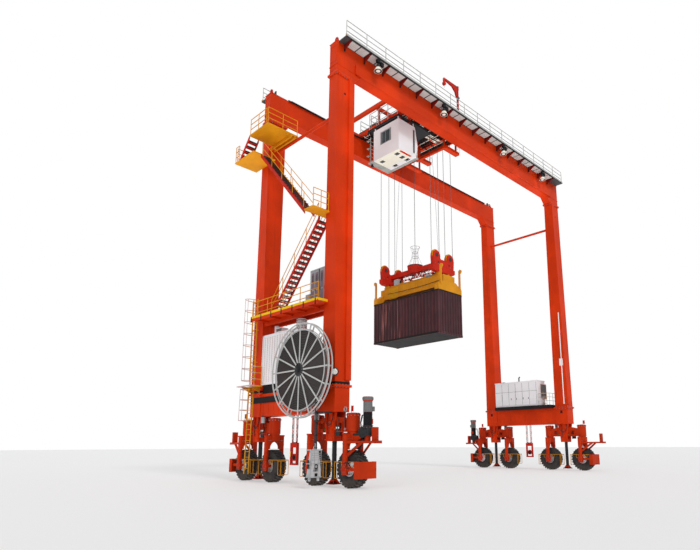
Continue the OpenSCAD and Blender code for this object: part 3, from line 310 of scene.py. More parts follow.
def repeated(name, body, finish, spots, kind="bolt", sides=6):
    """Sets a small solid on each spot: (point, turn in degrees, size) in drawing millimetres."""
    points = bpy.data.meshes.new(name + "_points")
    points.from_pydata([place(*s[0]) for s in spots], [], [])
    turn = points.attributes.new("turn", "FLOAT_VECTOR", "POINT")
    size = points.attributes.new("size", "FLOAT_VECTOR", "POINT")
    for i, (_, t, s) in enumerate(spots):
        turn.data[i].vector = [math.radians(v) for v in t]
        size.data[i].vector = [v / 1000.0 for v in s]
    holder = bpy.data.objects.new(name + "_points", points)
    bpy.context.scene.collection.objects.link(holder)
    mod = holder.modifiers.new("repeat", "NODES")
    mod.node_group = repeat_tree(kind)
    given = {"Sides": sides, "Finish": MATS[finish]}
    for item in mod.node_group.interface.items_tree:
        if item.item_type == "SOCKET" and item.in_out == "INPUT" and item.name in given:
            mod[item.identifier] = given[item.name]
    bpy.context.view_layer.update()
    held = holder.evaluated_get(bpy.context.evaluated_depsgraph_get())
    mesh = bpy.data.meshes.new_from_object(held)
    mesh.name = name
    bpy.data.objects.remove(holder)
    bpy.data.meshes.remove(points)
    return finish_piece(name, mesh, body, finish)


# Finishes


class Finish:
    """Builds a node material step by step on Object coordinates."""

    def __init__(self, name, rough=0.5, metal=0.0):
        self.mat = bpy.data.materials.new(name)
        self.mat.use_nodes = True
        self.nodes, self.links = self.mat.node_tree.nodes, self.mat.node_tree.links
        self.shader = self.nodes["Principled BSDF"]
        self.set_input("Roughness", rough)
        self.set_input("Metallic", metal)
        self.coords = self.nodes.new("ShaderNodeTexCoord").outputs["Object"]

    def set_input(self, name, value):
        self.shader.inputs[name].default_value = value

    def noise(self, scale, detail=4.0, rough=0.55):
        mapping = self.nodes.new("ShaderNodeMapping")
        mapping.inputs["Scale"].default_value = scale
        self.links.new(self.coords, mapping.inputs["Vector"])
        node = self.nodes.new("ShaderNodeTexNoise")
        node.inputs["Scale"].default_value = 1.0
        node.inputs["Detail"].default_value = detail
        node.inputs["Roughness"].default_value = rough
        self.links.new(mapping.outputs["Vector"], node.inputs["Vector"])
        return node.outputs["Fac"]

    def band(self, value, low, high):
        """0 below low, 1 above high and a soft change between."""
        node = self.nodes.new("ShaderNodeMapRange")
        node.interpolation_type = "SMOOTHSTEP"
        node.inputs["From Min"].default_value = low
        node.inputs["From Max"].default_value = high
        self.links.new(value, node.inputs["Value"])
        return node.outputs["Result"]

    def math(self, kind, a, b=0.0):
        node = self.nodes.new("ShaderNodeMath")
        node.operation = kind
        for i, v in enumerate((a, b)):
            if isinstance(v, (int, float)):
                node.inputs[i].default_value = v
            else:
                self.links.new(v, node.inputs[i])
        return node.outputs[0]

    def comb(self, value, low, high):
        """A value repeated in whole steps, as a band that is 1 at the ends of each step."""
        saw = self.math("FRACT", value)
        return self.band(self.math("ABSOLUTE", self.math("SUBTRACT", saw, 0.5)), low, high)

    def mix(self, factor, a, b):
        node = self.nodes.new("ShaderNodeMix")
        node.data_type = "RGBA"
        for key, v in (("Factor", factor), ("A", a), ("B", b)):
            socket = [s for s in node.inputs if s.name == key and (s.type == "RGBA") == (key != "Factor")][0]
            if isinstance(v, tuple):
                socket.default_value = v + (1.0,)
            else:
                self.links.new(v, socket)
        return [s for s in node.outputs if s.type == "RGBA"][0]

    def over(self, tone, mask, share, colour):
        """Lays a colour over a tone, where the mask is, up to a share."""
        return self.mix(self.math("MULTIPLY", mask, share), tone, colour)

    def axis(self, letter):
        node = self.nodes.new("ShaderNodeSeparateXYZ")
        self.links.new(self.coords, node.inputs[0])
        return node.outputs[letter]

    def colour(self, value):
        self.links.new(value, self.shader.inputs["Base Color"])

    def roughness(self, scale, swing, low):
        """Roughness that starts at low and rises with a noise."""
        value = self.math("ADD", self.math("MULTIPLY", self.noise(scale), swing), low)
        self.links.new(value, self.shader.inputs["Roughness"])

    def bump(self, height, strength, distance=0.002):
        node = self.nodes.new("ShaderNodeBump")
        node.inputs["Strength"].default_value = strength
        node.inputs["Distance"].default_value = distance
        self.links.new(height, node.inputs["Height"])
        self.links.new(node.outputs["Normal"], self.shader.inputs["Normal"])


def linear(colour):
    """A colour in display values of 0 to 255 as scene values."""
    shares = (c / 255.0 for c in colour)
    return tuple(c / 12.92 if c <= 0.04045 else ((c + 0.055) / 1.055) ** 2.4 for c in shares)


def scaled(colour, factor):
    return tuple(c * factor for c in colour)


def paint(name, colour, rough=0.5, fade=0.12, streaks=0.3, rust=0.2, plates=0.0):
    """Sprayed enamel: sun fade, darker plates, vertical dirt streaks, rust spots and a fine orange peel."""
    f = Finish(name, rough)
    base = linear(colour)
    pale = tuple(min(1.0, c * (1 + fade) + fade * 0.004) for c in base)
    tone = f.mix(f.band(f.noise((0.5, 0.5, 0.5)), 0.35, 0.7), scaled(base, 1 - fade), pale)
    if plates:
        sheet = f.band(f.noise((0.33, 0.33, 0.05), 1.0), 0.4, 0.6)
        tone = f.over(tone, sheet, plates, scaled(base, 0.72))
    run = f.band(f.noise((4.0, 4.0, 0.22), 6.0, 0.65), 0.56, 0.78)
    tone = f.over(tone, run, streaks, tuple(c * 0.45 + 0.004 for c in base))
    spots = f.band(f.noise((9.0, 9.0, 5.0), 8.0, 0.7), 0.68, 0.76)
    f.colour(f.over(tone, spots, rust, linear((104, 54, 32))))
    f.roughness((2.0, 2.0, 2.0), 0.25, rough - 0.1)
    f.bump(f.noise((60.0, 60.0, 60.0), 2.0), 0.10)
    f.set_input("Specular IOR Level", 0.12)
    return f.mat


def tone_change_along_axis(name, colour, other, key, low, high):
    """Enamel that changes to another colour along one axis, between two places in metres; on the ladder the
    pale colour is painted glare.
    """
    f = Finish(name)
    worn = f.band(f.noise((2.0, 2.0, 0.6), 5.0, 0.6), 0.45, 0.75)
    first, second = (f.mix(worn, linear(c), scaled(linear(c), 0.6)) for c in (colour, other))
    f.colour(f.mix(f.band(f.axis(key), low, high), first, second))
    f.roughness((2.0, 2.0, 2.0), 0.25, 0.4)
    f.bump(f.noise((50.0, 50.0, 50.0), 3.0), 0.15)
    f.set_input("Specular IOR Level", 0.15)
    return f.mat


def steel(name, colour, rough=0.45, metal=0.85, stain=0.4):
    """Bare metal with dull patches and brown stains."""
    f = Finish(name, rough, metal)
    base = linear(colour)
    tone = f.mix(f.band(f.noise((3.0, 3.0, 3.0), 6.0), 0.35, 0.7), scaled(base, 0.7), base)
    stains = f.band(f.noise((12.0, 12.0, 4.0), 6.0), 0.6, 0.75)
    f.colour(f.over(tone, stains, stain, linear((92, 66, 48))))
    f.roughness((14.0, 14.0, 14.0), 0.3, rough - 0.15)
    f.bump(f.noise((120.0, 120.0, 120.0)), 0.12, 0.001)
    return f.mat


def tyre_rubber():
    """Black rubber that turns paler towards the ground."""
    f = Finish("tyre_rubber", 0.8)
    patches = f.band(f.noise((2.5, 2.5, 2.5), 6.0), 0.35, 0.7)
    tone = f.mix(patches, linear((30, 28, 28)), linear((54, 50, 48)))
    # Paler towards the ground, over the lowest 0.55 m.
    f.colour(f.over(tone, f.band(f.axis("Z"), 0.55, 0.0), 0.3, linear((96, 86, 78))))
    f.bump(f.noise((30.0, 30.0, 30.0), 8.0), 0.35, 0.004)
    return f.mat


def container_paint():
    """Dull brown red with dark grey weathering, painted shade in the rib grooves and painted highlight
    streaks in pale pink along one part of a side.
    """
    f = Finish("container_paint", 0.65)
    base = linear((84, 46, 50))
    tone = f.mix(f.band(f.noise((0.9, 0.9, 0.9), 5.0), 0.35, 0.7), scaled(base, 0.72), scaled(base, 1.2))
    weather = f.band(f.noise((3.0, 3.0, 0.5), 6.0, 0.65), 0.42, 0.62)
    tone = f.over(tone, weather, 0.35, linear((74, 66, 70)))
    # Painted shade: the grooves between the ribs, along both axes, are darkened.
    for key, pitch, start in (("Y", 0.2879, -2.58), ("X", 0.27, -2.05)):
        steps = f.math("MULTIPLY", f.math("SUBTRACT", f.axis(key), start), 1.0 / pitch)
        tone = f.over(tone, f.comb(steps, 0.22, 0.34), 0.62, scaled(base, 0.3))
    # Painted highlight: pale pink streaks of light down the ribs, over one part of the side.
    painted_highlight_streaks = f.band(f.noise((3.0, 9.0, 0.25), 3.0, 0.6), 0.56, 0.66)
    reach = f.band(f.axis("Y"), 0.2, 1.6)
    tone = f.over(tone, f.math("MULTIPLY", painted_highlight_streaks, reach), 0.85, linear((206, 130, 122)))
    rust = f.band(f.noise((6.0, 6.0, 3.0), 8.0, 0.7), 0.68, 0.76)
    f.colour(f.over(tone, rust, 0.5, linear((96, 52, 34))))
    f.bump(f.noise((40.0, 40.0, 40.0)), 0.15)
    f.set_input("Specular IOR Level", 0.2)
    return f.mat


def grating(name, colour):
    """Galvanised grid plate: a fine mesh of bars as relief, with the gaps between the bars darkened as
    painted shade.
    """
    f = Finish(name, 0.55, 0.3)
    base = linear(colour)
    wave = [f.comb(f.math("MULTIPLY", f.axis(key), 22.0), 0.12, 0.24) for key in ("X", "Y")]
    shaded_gap_mask = f.math("MULTIPLY", f.math("SUBTRACT", 1.0, wave[0]), f.math("SUBTRACT", 1.0, wave[1]))
    tone = f.mix(f.band(f.noise((3.0, 3.0, 3.0)), 0.3, 0.7), scaled(base, 0.75), base)
    # Painted shade: the gaps between the bars are darkened.
    f.colour(f.over(tone, shaded_gap_mask, 0.6, scaled(base, 0.2)))
    f.bump(f.math("SUBTRACT", 1.0, shaded_gap_mask), 0.5, 0.006)
    return f.mat


def glass():
    """Dark tinted cab glass."""
    f = Finish("cab_glass", 0.25)
    f.colour(f.mix(f.band(f.noise((1.0, 1.0, 1.0)), 0.3, 0.7), (0.02, 0.03, 0.035), (0.05, 0.07, 0.075)))
    for name in ("Coat Weight", "Coat Roughness", "Specular IOR Level"):
        f.set_input(name, 0.1)
    return f.mat


def lamp_glass():
    """Pale glass of a lamp that is off."""
    f = Finish("lamp_glass", 0.12)
    patches = f.band(f.noise((9.0, 9.0, 9.0)), 0.3, 0.7)
    f.colour(f.mix(patches, linear((225, 226, 214)), linear((246, 246, 240))))
    f.set_input("Coat Weight", 0.8)
    return f.mat


def rope_wire(name, colour):
    """Laid strands: slanting ridges, with painted shade darkening the grooves between them."""
    f = Finish(name, 0.5, 0.7)
    lay = f.math("ADD", f.math("MULTIPLY", f.axis("Z"), 14.0), f.math("MULTIPLY", f.axis("X"), 40.0))
    shaded_groove = f.comb(lay, 0.1, 0.4)
    # Painted shade: the grooves between the strands are darker.
    f.colour(f.mix(shaded_groove, linear(colour), scaled(linear(colour), 0.4)))
    f.bump(shaded_groove, 0.5)
    return f.mat


def wound_cable():
    """Flat rubber cable wound in layers: painted highlights as fine pale rings round the reel's axis, and
    dusty patches.
    """
    f = Finish("wound_cable_rubber", 0.6)
    dy = f.math("SUBTRACT", f.axis("Y"), REEL[1] / 1000.0)
    dz = f.math("SUBTRACT", f.axis("Z"), REEL[2] / 1000.0)
    radius = f.math("SQRT", f.math("ADD", f.math("MULTIPLY", dy, dy), f.math("MULTIPLY", dz, dz)))
    # Painted highlight: each turn of the cable gets a pale ring.
    ring = f.comb(f.math("MULTIPLY", radius, 1000.0 / 82.0), 0.28, 0.46)
    tone = f.over(linear((40, 39, 39)), ring, 0.75, linear((104, 99, 96)))
    dust = f.band(f.noise((0.7, 0.7, 0.7)), 0.3, 0.7)
    f.colour(f.over(tone, dust, 0.4, linear((66, 52, 50))))
    f.bump(ring, 0.5, 0.004)
    f.set_input("Specular IOR Level", 0.2)
    return f.mat


# Each enamel: material name, colour in display values, roughness, fade, streaks, rust

PAINTS = {
    "red": ("red_paint", (192, 36, 18)),
    "headblock": ("headblock_red", (200, 40, 20), 0.5, 0.12, 0.4, 0.1),
    "darkred": ("dark_red_paint", (120, 26, 18), 0.55),
    "yellow": ("yellow_paint", (222, 150, 20)),
    "toe": ("toe_board_yellow", (240, 196, 20), 0.5, 0.06, 0.15, 0.05),
    "spreader": ("spreader_yellow", (216, 146, 30), 0.55, 0.12, 0.5, 0.35),
    "sheave": ("sheave_yellow", (216, 156, 20), 0.5, 0.12, 0.3, 0.1),
    "white": ("white_paint", (242, 241, 243), 0.5, 0.03, 0.1, 0.04),
    "pink": ("pale_pink_panel", (226, 208, 206), 0.5, 0.04, 0.12, 0.05),
    "cream": ("cream_panel", (246, 243, 226), 0.55, 0.05, 0.15, 0.1),
    "panel": ("walkway_panel_grey", (206, 208, 204), 0.6, 0.1, 0.2, 0.1),
    "cabinet": ("cabinet_paint", (168, 170, 172), 0.5, 0.06, 0.25, 0.1),
    "mauve": ("mauve_cabinet_paint", (132, 112, 122), 0.5, 0.08, 0.25, 0.15),
    "rail": ("pale_rail_paint", (188, 188, 186), 0.5, 0.06, 0.2, 0.2),
    "grey": ("grey_paint", (112, 112, 112), 0.55, 0.08, 0.25, 0.15),
    "darkgrey": ("dark_machine_paint", (50, 50, 52), 0.55, 0.12, 0.35, 0.25),
    "black": ("black_paint", (26, 26, 28), 0.55, 0.1, 0.2, 0.15),
    "green": ("green_cap_paint", (58, 116, 66)),
    "under": ("underside_black", (34, 32, 32), 0.6, 0.2, 0.2, 0.3),
}


def make_finishes(orange):
    """Makes every finish; orange is the frame's enamel in display values of 0 to 255."""
    MATS.update({key: paint(*row) for key, row in PAINTS.items()})
    MATS.update({
        "orange": paint("orange_paint", orange, 0.5, 0.14, 0.5, 0.45, plates=0.4),
        "worn": paint("worn_orange_paint", scaled(orange, 0.9), 0.55, 0.25, 0.9, 0.95, plates=0.65),
        "steel": steel("bolt_steel", (150, 150, 152)),
        "galvanised": steel("galvanised_steel", (172, 174, 176), 0.45, 0.4, 0.2),
        "casting": steel("pale_casting", (182, 184, 186), 0.6, 0.15, 0.25),
        "railsteel": steel("rail_steel", (70, 66, 64), 0.5, 0.8, 0.5),
        "darkgrate": grating("dark_grating", (74, 76, 78)),
        "tyre": tyre_rubber(),
        "container": container_paint(),
        "rope": rope_wire("rope_steel", (108, 108, 110)),
        "cable": rope_wire("cable_rubber", (48, 46, 46)),
        "wound": wound_cable(),
        "glass": glass(),
        "lamp": lamp_glass(),
        # Painted highlight: the ladder's bars away from the leg are pale pink glare over the yellow paint,
        # which shows near the leg.
        "ladder": tone_change_along_axis("ladder_paint_and_painted_glare", (206, 178, 176), (214, 150, 30), "X", -12.12, -11.98),
        "guide": tone_change_along_axis("guide_paint", (190, 191, 193), (52, 52, 54), "Z", 1.76, 1.80),
        "cabwalk": tone_change_along_axis("cab_walkway_paint", (176, 180, 174), (40, 40, 42), "Z", 22.3, 22.5),
    })


NODE_FINISH = {
    "near_girder": "orange", "far_girder": "orange", "near_legs": "orange", "far_legs": "orange",
    "sill_beams": "orange", "leg_brackets": "orange", "tie_pipes": "orange", "cable_ducts": "orange",
    "crane_rails": "railsteel", "lifting_lugs": "red", "walkway_decks": "darkgrate",
    "walkway_railings": "rail", "floodlights": "darkgrey", "davit_post": "red", "davit_jib": "red",
    "electrical_platform": "orange", "electrical_cabinets": "cabinet", "transformer_cabinet": "white",
    "stair_flights": "red", "stair_landings": "yellow", "stair_railings": "yellow", "ladders": "ladder",
    "reel_stand": "darkgrey", "cable_reel": "rail", "reel_cable": "cable", "cable_guide": "guide",
    "generator_base": "under", "generator_house": "white", "cable_trays": "black", "storm_anchors": "red",
    "trolley_frame": "orange", "trolley_deck": "under", "trolley_railings": "rail", "operator_cab": "white",
    "cab_walkway": "cabwalk", "hoist_machinery": "darkgrey", "headblock": "headblock",
    "spreader_beam": "spreader", "container": "container",
}


def finish_nodes():
    """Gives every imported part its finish; the parts of the bogies that aren't listed are worn."""
    for name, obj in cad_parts.items():
        key = NODE_FINISH.get(name, "tyre" if name.startswith("wheel") else "worn")
        obj.data.materials.clear()
        obj.data.materials.append(MATS[key])


# Portal frames


def leg_half(z):
    """Half of a leg's width along X and along Y, at a height."""
    t = (z - SILL_TOP) / (JOINT_Z - 60 - SILL_TOP)
    return tuple((foot + (head - foot) * t) / 2 for foot, head in zip(LEG_FOOT, LEG_HEAD))


def leg_pieces():
    head, foot, bolts = (46, 46, 190), (44, 44, 180), []
    seams = Shape()
    for sx, sy in CORNERS.values():
        cx, cy = sx * HALF_SPAN, sy * HALF_BASE
        for s in BOTH:
            y = cy + s * (GIRDER_W / 2 + 42)
            bolts += [((cx + (k - 3.5) * 178, y, JOINT_Z), FLAT, head) for k in range(8)]
            bolts += [((cx + s * 650, cy + (k - 1.5) * 170, JOINT_Z), FLAT, head) for k in range(4)]
            bolts += [((cx + s * 512, cy + (k - 1.5) * 260, SILL_TOP), FLAT, foot) for k in range(4)]
            bolts += [((cx + (k - 2) * 200, cy + s * 556, SILL_TOP), FLAT, foot) for k in range(5)]
        for z in (8200, 12400, 16400, 19600):
            hx, hy = (half + 3 for half in leg_half(z))
            seams.block((cx - hx, cy - hy, z - 5), (cx + hx, cy + hy, z + 5))
    for y in (-HALF_BASE, HALF_BASE):
        for k in range(-5, 6):
            x = k * 2130
            seams.block((x - 5, y - 313, GIRDER_BOTTOM + 26), (x + 5, y + 313, GIRDER_TOP - 26))
    repeated("joint_bolts", "frame", "steel", bolts)
    seams.piece("weld_seams", "frame", "orange")
    # Painted shade: black discs and blocks stand for the dark hand holes in the legs and their feet.
    holes = Shape()
    for sx in BOTH:
        face = -HALF_BASE - leg_half(21000)[1] - 1
        holes.drum((sx * HALF_SPAN, face, 21000), "y", 70, 8)
    for y in (-HALF_BASE, HALF_BASE):
        z = SILL_TOP - 330
        holes.block((HALF_SPAN - 474, y - 95, z - 110), (HALF_SPAN - SILL_SIDE, y + 95, z + 110))
    holes.piece("leg_hand_holes_painted_shade", "frame", "black")
    pipe, x, y = Shape(), HALF_SPAN - leg_half(9000)[0], -HALF_BASE
    pipe.tube([(x - 60, y - 330, z) for z in (5100, 8600, 9000, 12500)], 38, 12)
    pipe.block((x - 170, y - 420, 8150), (x - 8, y - 200, 8700))
    pipe.piece("leg_pipe", "frame", "white", smooth=True)


def girder_pieces():
    lips, ends, lip = Shape(), Shape(), 26
    for y in (-HALF_BASE, HALF_BASE):
        for s in BOTH:
            for z in (GIRDER_BOTTOM, GIRDER_TOP - lip):
                low = (-HALF_SPAN - 600, y + s * 310, z)
                lips.block(low, (HALF_SPAN + 600, y + s * 328, z + lip))
    lips.piece("girder_flange_lips", "frame", "orange")
    low, high = GIRDER_BOTTOM + 250, GIRDER_TOP - 300
    for sx, sy in CORNERS.values():
        x, y = sx * (HALF_SPAN + 610), sy * HALF_BASE
        for z in (low, high):
            ends.block((x, y - 250, z), (x + sx * 16, y + 250, z + 40))
        for s in BOTH:
            ends.block((x, y + s * 250 - 20, low), (x + sx * 16, y + s * 250 + 20, high + 40))
        ends.block((x + sx * 2, y - 300, JOINT_Z + 250), (x + sx * 12, y + 300, JOINT_Z + 275))
    ends.piece("girder_end_frames", "frame", "orange")
    tray = Shape()
    for y, low, high in ((2960, 2, 90), (2860, -20, 2)):
        tray.block((-HALF_SPAN + 700, y, GIRDER_TOP + low), (HALF_SPAN - 900, 2985, GIRDER_TOP + high))
    tray.piece("cable_chain_tray", "frame", "black")
    links = [((x, 2920, GIRDER_TOP + 32), FLAT, (70, 90, 60)) for x in range(-10800, -1500, 95)]
    repeated("cable_chain_links", "frame", "darkgrey", links, "bar")


def build_portal():
    leg_pieces()
    girder_pieces()
    middle = (SILL_TOP + SILL_BOTTOM) / 2
    ribs = [((sx * HALF_SPAN + s * 436, y, middle), FLAT, (12, 14, 1180))
            for sx in BOTH for y in range(-2500, 2600, 500) for s in BOTH]
    repeated("sill_ribs", "frame", "orange", ribs, "bar")


# Walkways


def deck_pieces():
    slats, brackets, toes, edge, tips = [], Shape(), Shape(), Shape(), Shape()
    top, lower = GIRDER_TOP - 49, GIRDER_TOP - 434
    for sy in BOTH:
        inner, outer = sy * (WALK_Y + 2), sy * (WALK_Y + 644)
        for k in range(16):
            x = -HALF_SPAN - 100 + k * 1500
            outline = [(inner, top), (outer, top), (outer, GIRDER_TOP - 114), (inner, lower)]
            brackets.prism(outline, "x", x - 24, x + 24)
            brackets.block((x - 46, inner, GIRDER_TOP - 66), (x + 46, outer, top))
            for low, high, z in ((0, 90, GIRDER_TOP - 440), (560, 646, GIRDER_TOP - 150)):
                tips.block((x - 27, sy * (WALK_Y + low), z), (x + 27, sy * (WALK_Y + high), z + 110))
            if k < 15:
                slats += [((x + 150 + half * 690 + j * 102, sy * (WALK_Y + 300), GIRDER_TOP - 60),
                           FLAT, (84, 520, 18)) for half in (0, 1) for j in range(6)]
        reach = HALF_SPAN + 490
        toes.block((-reach, sy * (WALK_Y + 661), GIRDER_TOP), (reach, sy * (WALK_Y + 668), GIRDER_TOP + 110))
        reach += 10
        edge.block((-reach, sy * (WALK_Y + 640), top - 11), (reach, sy * (WALK_Y + 664), top - 1))
    repeated("walkway_panels", "frame", "panel", slats, "bar")
    brackets.piece("walkway_brackets", "frame", "darkred")
    edge.piece("walkway_edge_angles", "frame", "black")
    tips.piece("walkway_bracket_tips", "frame", "black")
    toes.piece("walkway_toe_boards", "frame", "rail")


def floodlight_pieces():
    lamps, shades, rings = Shape(), Shape(), Shape()
    shade = [(228, -786), (240, -786), (240, -770), (132, -556), (112, -556), (224, -772)]
    for sy in BOTH:
        for x in (-9700, -3700, 3300, 9000):
            y, z = sy * (WALK_Y + 530), GIRDER_TOP - 50
            lamps.lathe((x, y, z - 782), "z", [(0, -6), (190, 6), (212, 14), (0, 14)], 24)
            shades.lathe((x, y, z), "z", shade, 28, True)
            rings.drum((x, y, z - 556), "z", 136, 30)
            rings.block((x - 130, y - 90, z - 250), (x + 130, y + 60, z - 60))
            rings.block((x + 200, y - 60, z - 330), (x + 420, y + 60, z - 90))
            for s in BOTH:
                rings.tube([(x + s * 240, y, z - 640), (x + s * 250, y, z - 400), (x, y, z - 250)], 14, 6)
    lamps.piece("floodlight_glasses", "frame", "lamp", smooth=True)
    shades.piece("floodlight_shades", "frame", "cream", smooth=True)
    rings.piece("floodlight_housings", "frame", "black", bevel=4)


def build_walkways():
    deck_pieces()
    floodlight_pieces()
    step = (2 * HALF_SPAN + 900) / 16
    feet = [((-HALF_SPAN - 450 + k * step, sy * (WALK_Y + 600), GIRDER_TOP + 70), FLAT, (60, 60, 140))
            for sy in BOTH for k in range(17)]
    repeated("railing_feet", "frame", "yellow", feet, "bar")
    wire, top = Shape(), DAVIT_TOP
    wire.tube([(-3540, -4090, top - 340), (-3540, -4090, top - 520)], 10, 6)
    wire.tube([(-2100, -4170, top + 150), (-2700, -4150, top + 200), (-3500, -4140, top + 160)], 9, 6)
    wire.drum((-2180, -4200, top - 700), "y", 90, 120, 20)
    wire.piece("davit_wire", "davit", "rope")


# Wheels and bogies


def wheel_places():
    """Each wheel's bogie, place in it, side signs and middle; s points to the bogie's end."""
    for key, (sx, sy) in CORNERS.items():
        for kind, s in (("out", sy), ("in", -sy)):
            yield key, kind, sx, sy, s, sx * HALF_SPAN, sy * HALF_BASE + s * WHEEL_STEP / 2


TYRE_HALF = [(330, -205), (395, -252), (470, -282), (600, -284), (705, -276),
             (770, -262), (806, -232), (820, -180), (826, -90), (828, 0)]
RIM_HALF = [(72, -170), (180, -170), (200, -120), (262, -96), (300, -150),
            (322, -214), (338, -222), (338, -206), (330, -200)]


def mirrored(half):
    """A closed outline of (radius, height) points from its lower half."""
    return half + [(r, -h) for r, h in reversed(half) if h]


def tyre_lugs(cx, cy):
    """Slanting lugs on the tread and short ones on the shoulders, half a step apart from side to side."""
    lugs, count = [], 26
    for i in range(count):
        for side in BOTH:
            tread = 2 * math.pi * (i + (0.5 if side > 0 else 0)) / count
            shoulder = tread + side * 0.07
            for a, dx, r, lean, size in ((tread, 128, 847, ("Z", side * 28), (250, 100, 40)),
                                         (shoulder, 262, 800, ("Y", side * 40), (40, 96, 60))):
                p = (cx + side * dx, cy + math.cos(a) * r, AXLE_Z + math.sin(a) * r)
                lugs.append((p, turned(lean, ("X", math.degrees(a) - 90)), size))
    return lugs


def build_wheels():
    for key, kind, sx, sy, s, cx, cy in wheel_places():
        tag = f"{key}_{kind}"
        body = f"wheel_body_{tag}"
        tyre = Shape().lathe((cx, cy, AXLE_Z), "x", mirrored(TYRE_HALF), 64, True)
        for r in (420, 560, 690):
            for side in BOTH:
                tyre.drum((cx + side * 280, cy, AXLE_Z), "x", r + 5, 14, 64, r - 5)
        made = tyre.piece(f"tyre_{tag}", body, "tyre", smooth=True)
        repeated(f"tread_lugs_{tag}", body, "tyre", tyre_lugs(cx, cy), "bar")
        rim = Shape().lathe((cx, cy, AXLE_Z), "x", mirrored(RIM_HALF), 48, True)
        rim.piece(f"rim_{tag}", body, "rail" if kind == "in" else "white", smooth=True)
        nuts = []
        for side in BOTH:
            nuts += bolt_circle((cx + side * 126, cy, AXLE_Z), "x", 232, 10, (34, 34, 40))
        repeated(f"wheel_nuts_{tag}", body, "steel", nuts)
        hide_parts(f"wheel_{tag}")


def beam_pieces(key, sx, sy):
    """Bolted ends, steering cylinders, valves on a dark box that is painted shade of an opening, and flag of
    one balance beam.
    """
    cx, cy, body = sx * HALF_SPAN, sy * HALF_BASE, f"bogie_{key}"
    bolts, caps, cylinders, ends = [], Shape(), Shape(), Shape()
    for s in BOTH:
        y = cy + s * WHEEL_STEP / 2
        bolts += bolt_circle((cx, y, BEAM_BOTTOM + 770), "z", 328, 12, (34, 34, 96))
        bolts += bolt_circle((cx, y, BEAM_BOTTOM + 866), "z", 250, 12, (32, 32, 26))
        caps.drum((cx, y, BEAM_BOTTOM + 868), "z", 150, 30)
        caps.drum((cx, y, BEAM_BOTTOM + 884), "z", 60, 12, 20)
        x = cx + s * 275
        cylinders.tube([(x, cy - 380, CYLINDER_Z), (x, cy + 380, CYLINDER_Z)], 46, 14)
        cylinders.tube([(x, cy - 420, CYLINDER_Z), (x, cy - 380, CYLINDER_Z)], 54, 14)
        for t in BOTH:
            ends.drum((x, cy + t * 430, CYLINDER_Z), "y", 56, 40, 16)
    repeated(f"beam_bolts_{key}", body, "steel", bolts)
    caps.piece(f"beam_caps_{key}", body, "orange", smooth=True)
    cylinders.piece(f"steering_cylinders_{key}", body, "orange", smooth=True)
    ends.piece(f"cylinder_caps_{key}", body, "green", smooth=True)
    block, discs, flag = Shape(), Shape(), Shape()
    # Painted shade: the dark box stands for the shaded opening in the beam's side; the white discs and pipes
    # on it are drawn as valves.
    x, y = cx + sx * 232, cy - 560
    block.block((x, y - 160, 2400), (x + sx * 66, y + 160, 2880))
    for bends in (((40, -120, 2880), (60, -90, 3080), (20, 60, 3240)),
                  ((40, 120, 2880), (90, 150, 3030), (40, 230, 3240))):
        block.tube([(x + sx * dx, y + dy, z) for dx, dy, z in bends], 16)
    for t in BOTH:
        discs.drum((x + sx * 70, y + t * 80, 2780), "x", 45, 12, 20)
    block.piece(f"valve_block_painted_shade_{key}", body, "darkgrey", bevel=6)
    discs.piece(f"valve_discs_{key}", body, "white", smooth=True)
    x, y = cx + sx * 180, cy + sy * (WHEEL_STEP / 2 + 40)
    flag.tube([(x, y, 3440), (x, y, 3800)], 10, 6)
    flag.block((x - sx * 4, y, 3520), (x + sx * 4, y + sy * 160, 3790))
    flag.piece(f"beam_flag_{key}", body, "red")


def chain_pieces(key, sx, sy):
    """The chain with its ring and hook at the near left bogie."""
    x, y, body = sx * HALF_SPAN - 285, sy * HALF_BASE - 1100, f"bogie_{key}"
    links = [((x, y, 3560 - k * 62), (0, 0, 90 * (k % 2)), (24, 60, 84)) for k in range(13)]
    repeated("bogie_chain", body, "railsteel", links, "bar")
    hook = Shape().tube(around((x, y, 3640), "x", 88, 20, 100), 24, 10, True)
    hook.tube([(x, y + dy, z) for dy, z in ((-40, 2760), (-45, 2690), (0, 2650), (45, 2690), (40, 2760))], 14)
    hook.piece("bogie_shackle", body, "galvanised", smooth=True)


def pivot_pieces(key, sx, sy):
    """Hoses and bolts of one pivot bracket, and the support post beside it."""
    cx, cy = sx * HALF_SPAN, sy * HALF_BASE
    hang, bolts = Shape(), []
    long_hose = ((0, -300, 3500), (90, -330, 3200), (110, -200, 2960), (60, 40, 2900), (90, 260, 3100),
                 (30, 300, 3480))
    short_hose = ((0, 130, 3500), (60, 90, 3000), (60, 60, 2700), (0, 120, 2500))
    for s in BOTH:
        for bends, r in ((long_hose, 19), (short_hose, 15)):
            hang.tube([(cx + s * (330 + dx), cy + dy, z) for dx, dy, z in bends], r)
        bolts += bolt_circle((cx + s * 350, cy, 2970), "x", 110, 8, (30, 30, 30))
    hang.piece(f"bracket_hoses_{key}", "frame", "cable", smooth=True)
    repeated(f"pivot_bolts_{key}", "frame", "steel", bolts)
    post, foot = Shape(), Shape()
    post.tube([(cx, cy, 2150), (cx, cy, 330)], 113, 28)
    post.tube([(cx, cy, 310), (cx, cy, 176)], 84, 28)
    for z in (2100, 1500, 900, 360):
        post.drum((cx, cy, z), "z", 122, 40, 28)
    post.piece(f"post_sleeve_{key}", "frame", "darkgrey", smooth=True)
    foot.block((cx - 262, cy - 262, 129), (cx + 262, cy + 262, 178))
    for dx, dy in ((1, 0), (0, 1), (-1, 0), (0, -1)):
        low = (cx + dx * 84 - dy * 14, cy + dy * 84 - dx * 14, 178)
        foot.block(low, (cx + dx * 230 + dy * 14, cy + dy * 230 + dx * 14, 250))
    foot.piece(f"post_foot_{key}", "frame", "darkred", bevel=5)


